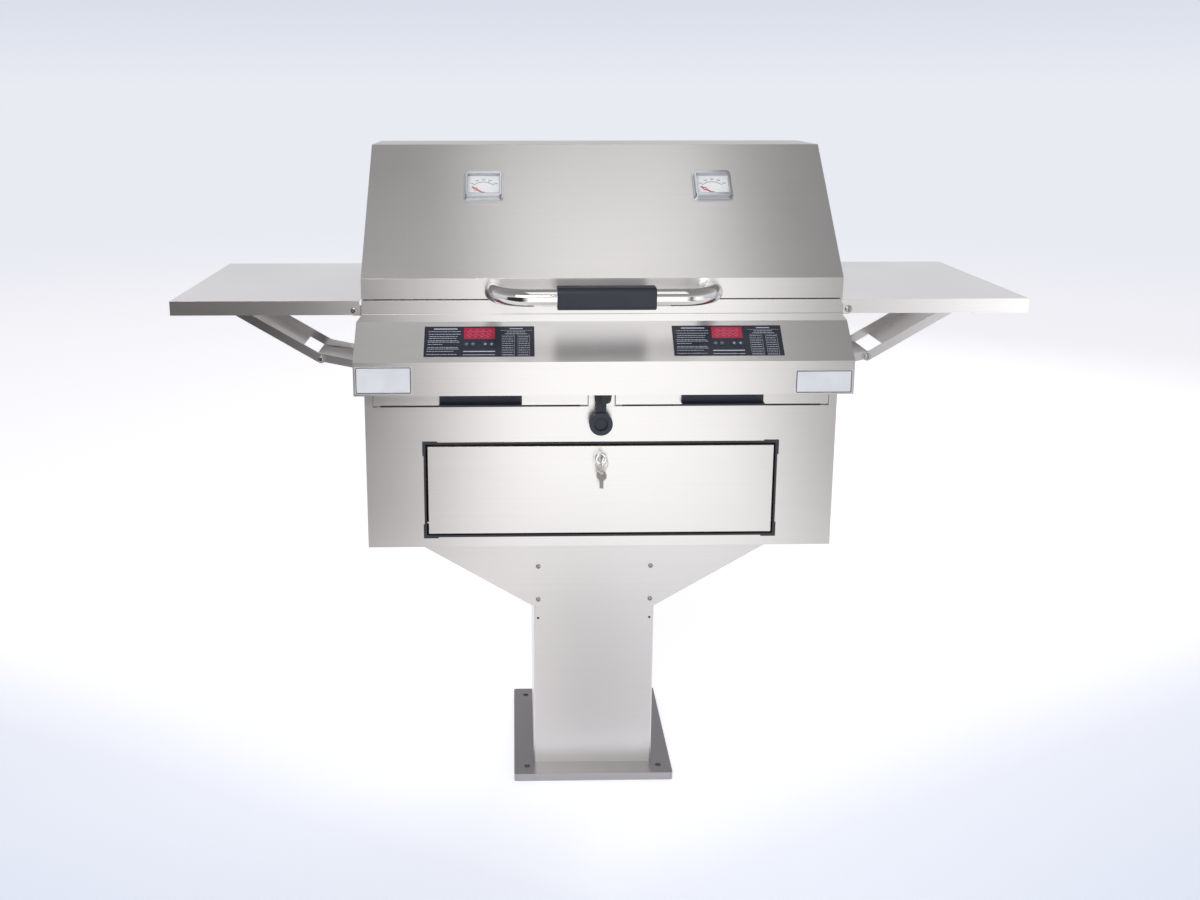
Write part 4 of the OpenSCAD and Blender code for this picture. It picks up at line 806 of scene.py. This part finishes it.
# Handle, grip and screws
# Bent tube, mirror-polished, with a slate plastic grip pressed on it and two screws at its feet.
# The grip is a rounded square bar with a fine moulded texture.
tube_steel = polished_steel("stainless_tube_polished", "#DAD8D6", 0.1)
dress("lid_handle", "lid_handle_tube", 0.0004, tube_steel, "polished", angle=50)
grip_plastic = moulded("grip_plastic_slate", "#121A26", 0.42, grain=0.0012, depth=0.00003)
dress("handle_grip", "handle_grip_moulded", 0.0016, grip_plastic, "grip", steps=4)
dress("handle_screws", "handle_screws_turned", 0.0005, bright, "zinc")


# Gauges
# Two dial gauges in chromed bezels: white enamelled face, printed scale with plain numbers and a
# red pointer. The hub and the dial's two screws sit low, where the bezel's lower edge hides them.
SLOPE_UP = Vector((0, 0.197, 0.213)).normalized()
enamel = moulded("dial_enamel_white", "#F6F7F9", 0.4, depth=0.000003)
dial_ink = moulded("dial_ink_dark", "#34363C", 0.5)
pointer_red = moulded("pointer_red_enamel", "#B3202C", 0.32, depth=0.000003)
# Painted shade: the bezels' chrome is coloured darker than the lock's chrome, for the darker reflections in
# the rims.
bezel_chrome_shaded = polished_steel("bezel_chrome_shaded", "#B9BCC0", 0.12)
dress("gauge_bezels", "gauge_bezels_chromed", 0.0012, bezel_chrome_shaded, "polished", steps=4)
dress("gauge_dials", "gauge_dials_enamelled", 0.0002, enamel, "dial")

glass, t = new_material("gauge_lens_clear")
clear = add(t, "ShaderNodeBsdfTransparent")
sheen = add(t, "ShaderNodeBsdfGlossy", {"Roughness": 0.04})
edge_on = add(t, "ShaderNodeFresnel", {"IOR": 1.45})
inner_side = add(t, "ShaderNodeNewGeometry").outputs["Backfacing"]
outer = add(t, "ShaderNodeMath", {0: 1.0, 1: inner_side}, operation="SUBTRACT")
gloss = add(t, "ShaderNodeMath", {0: edge_on.outputs[0], 1: outer.outputs[0]}, operation="MULTIPLY")
mixed = add(t, "ShaderNodeMixShader", {0: gloss.outputs[0], 1: clear.outputs[0], 2: sheen.outputs[0]})
add(t, "ShaderNodeOutputMaterial", {"Surface": mixed.outputs[0]})
dress("gauge_lenses", "gauge_lenses_clear", 0.0003, glass, "lens")

NEEDLE_GAP = 0.0003
HUB_Y, SCALE_R, SWEEP, NUMBERS = -16.5, 25.0, 44, ("100", "200", "300", "400", "500")
NUMBER_H, NUMBER_OUT = 3.4, 5.6          # height of the numbers, and their distance past the scale
STROKES, STROKE_W, STROKE_H = 40, 1.15, 0.5
TICK_W, TICK, LONG_TICK, TICKS_APART = 0.45, 1.2, 2.6, 10


def scale_marks(name):
    """The scale's line as short joined strokes, with long and short ticks standing on it."""
    bpy.ops.object.select_all(action="DESELECT")
    for i in range(STROKES + 1):
        a = math.radians((2 * i / STROKES - 1) * SWEEP)
        tick = LONG_TICK if i % TICKS_APART == 0 else TICK
        for radius, w, h in ((SCALE_R, STROKE_W, STROKE_H), (SCALE_R + tick / 2, TICK_W, tick)):
            bpy.ops.mesh.primitive_cube_add(
                size=1, enter_editmode=i == 0 and radius == SCALE_R,
                location=(math.sin(a) * radius / 1000, (HUB_Y + math.cos(a) * radius) / 1000, INK / 2),
                rotation=(0, 0, -a), scale=(w / 1000, h / 1000, INK))
    bpy.ops.object.mode_set(mode="OBJECT")
    piece = bpy.context.object
    piece.name = name
    return piece


for side, sign in (("left", -1), ("right", 1)):
    lo, hi = min(solids("gauge_lenses"), key=lambda b: -sign * (b[0].x + b[1].x))
    plain = tilted((lo + hi) / 2, SLOPE_UP)
    inverse, needle = plain.inverted(), frame["nodes"][f"needle_{side}"].data
    dial_face = min((inverse @ v.co).z for v in needle.vertices) - NEEDLE_GAP
    on_dial = plain @ Matrix.Translation((0, 0, dial_face))
    marks = [scale_marks(f"dial_scale_{side}")]
    for i, number in enumerate(NUMBERS):
        a, r = math.radians((i - 2) * SWEEP / 2), SCALE_R + NUMBER_OUT
        marks.append(lettering("number", number, NUMBER_H, math.sin(a) * r, HUB_Y + math.cos(a) * r))
    piece = join(f"dial_scale_{side}", marks)
    lay(piece, on_dial)
    finish_piece(piece, dial_ink, "lid", "dial")

    dress(f"needle_{side}", f"needle_{side}_pointer", 0.0002, pointer_red, "needle")


# Shelves, brackets, arms and bolts
# Each shelf is a folded tray of stainless sheet with a plain lip on three sides, on two pivots.
# A long and a short arm brace it; the bolts are zinc-plated with low domed heads.
# Lit and shaded copies of one stainless: the shelves' is coloured paler as painted light, and the arms' and
# brackets' darker as painted shade under the shelves.
shelf_steel_lit = brushed_steel("stainless_shelf_painted_light", "#EEECEB", 0.3)
arm_steel_shaded = brushed_steel("stainless_arm_painted_shade", "#C6C4C3", 0.3)
for side in ("left", "right"):
    dress(f"shelf_{side}", f"shelf_{side}_folded", 0.0008, shelf_steel_lit, "stainless", steps=3)
    dress(f"brace_long_{side}", f"brace_long_{side}_folded", 0.0005, arm_steel_shaded, "stainless")
    dress(f"brace_short_{side}", f"brace_short_{side}_folded", 0.0005, arm_steel_shaded, "stainless")
dress("shelf_brackets", "shelf_brackets_folded", 0.0004, arm_steel_shaded, "stainless")
dress("shelf_bolts", "shelf_bolts_plated", 0.0012, bright, "zinc", steps=3)

# Low domed heads with a round recess close the bolts and the knee rivets of the long arms.
SHELF_MIDDLE = -0.026
DOME = [(0.0, -0.0010), (0.0061, -0.0010), (0.0061, 0.0001), (0.0057, 0.0008), (0.0045, 0.0014),
        (0.0028, 0.0017), (0.0023, 0.0016), (0.0020, 0.0004), (0.0, 0.0002)]


def domed_heads(name, boxes, body):
    """Dome-headed ends, one on the outer face of each box."""
    model = turned("dome", DOME, 28)
    smooth(model, 50)
    places = []
    for lo, hi in boxes:
        forward = (lo + hi).y / 2 < SHELF_MIDDLE
        places.append(fixing_place(lo, hi, Vector((0, -1 if forward else 1, 0))))
    finish_piece(copies(model, places, name), bright, body, "zinc")


domed_heads("shelf_bolt_heads", solids("shelf_bolts"), "frame")
KNEE_X, KNEE_Z = 0.504, 0.820
for side, sign in (("left", -1), ("right", 1)):
    node = f"brace_long_{side}"
    lo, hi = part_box(node)
    ends = [Vector((sign * KNEE_X, y, KNEE_Z)) for y in (lo[1], hi[1])]
    domed_heads(f"knee_heads_{side}", [(end, end) for end in ends], frame["nodes"][node]["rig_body"])
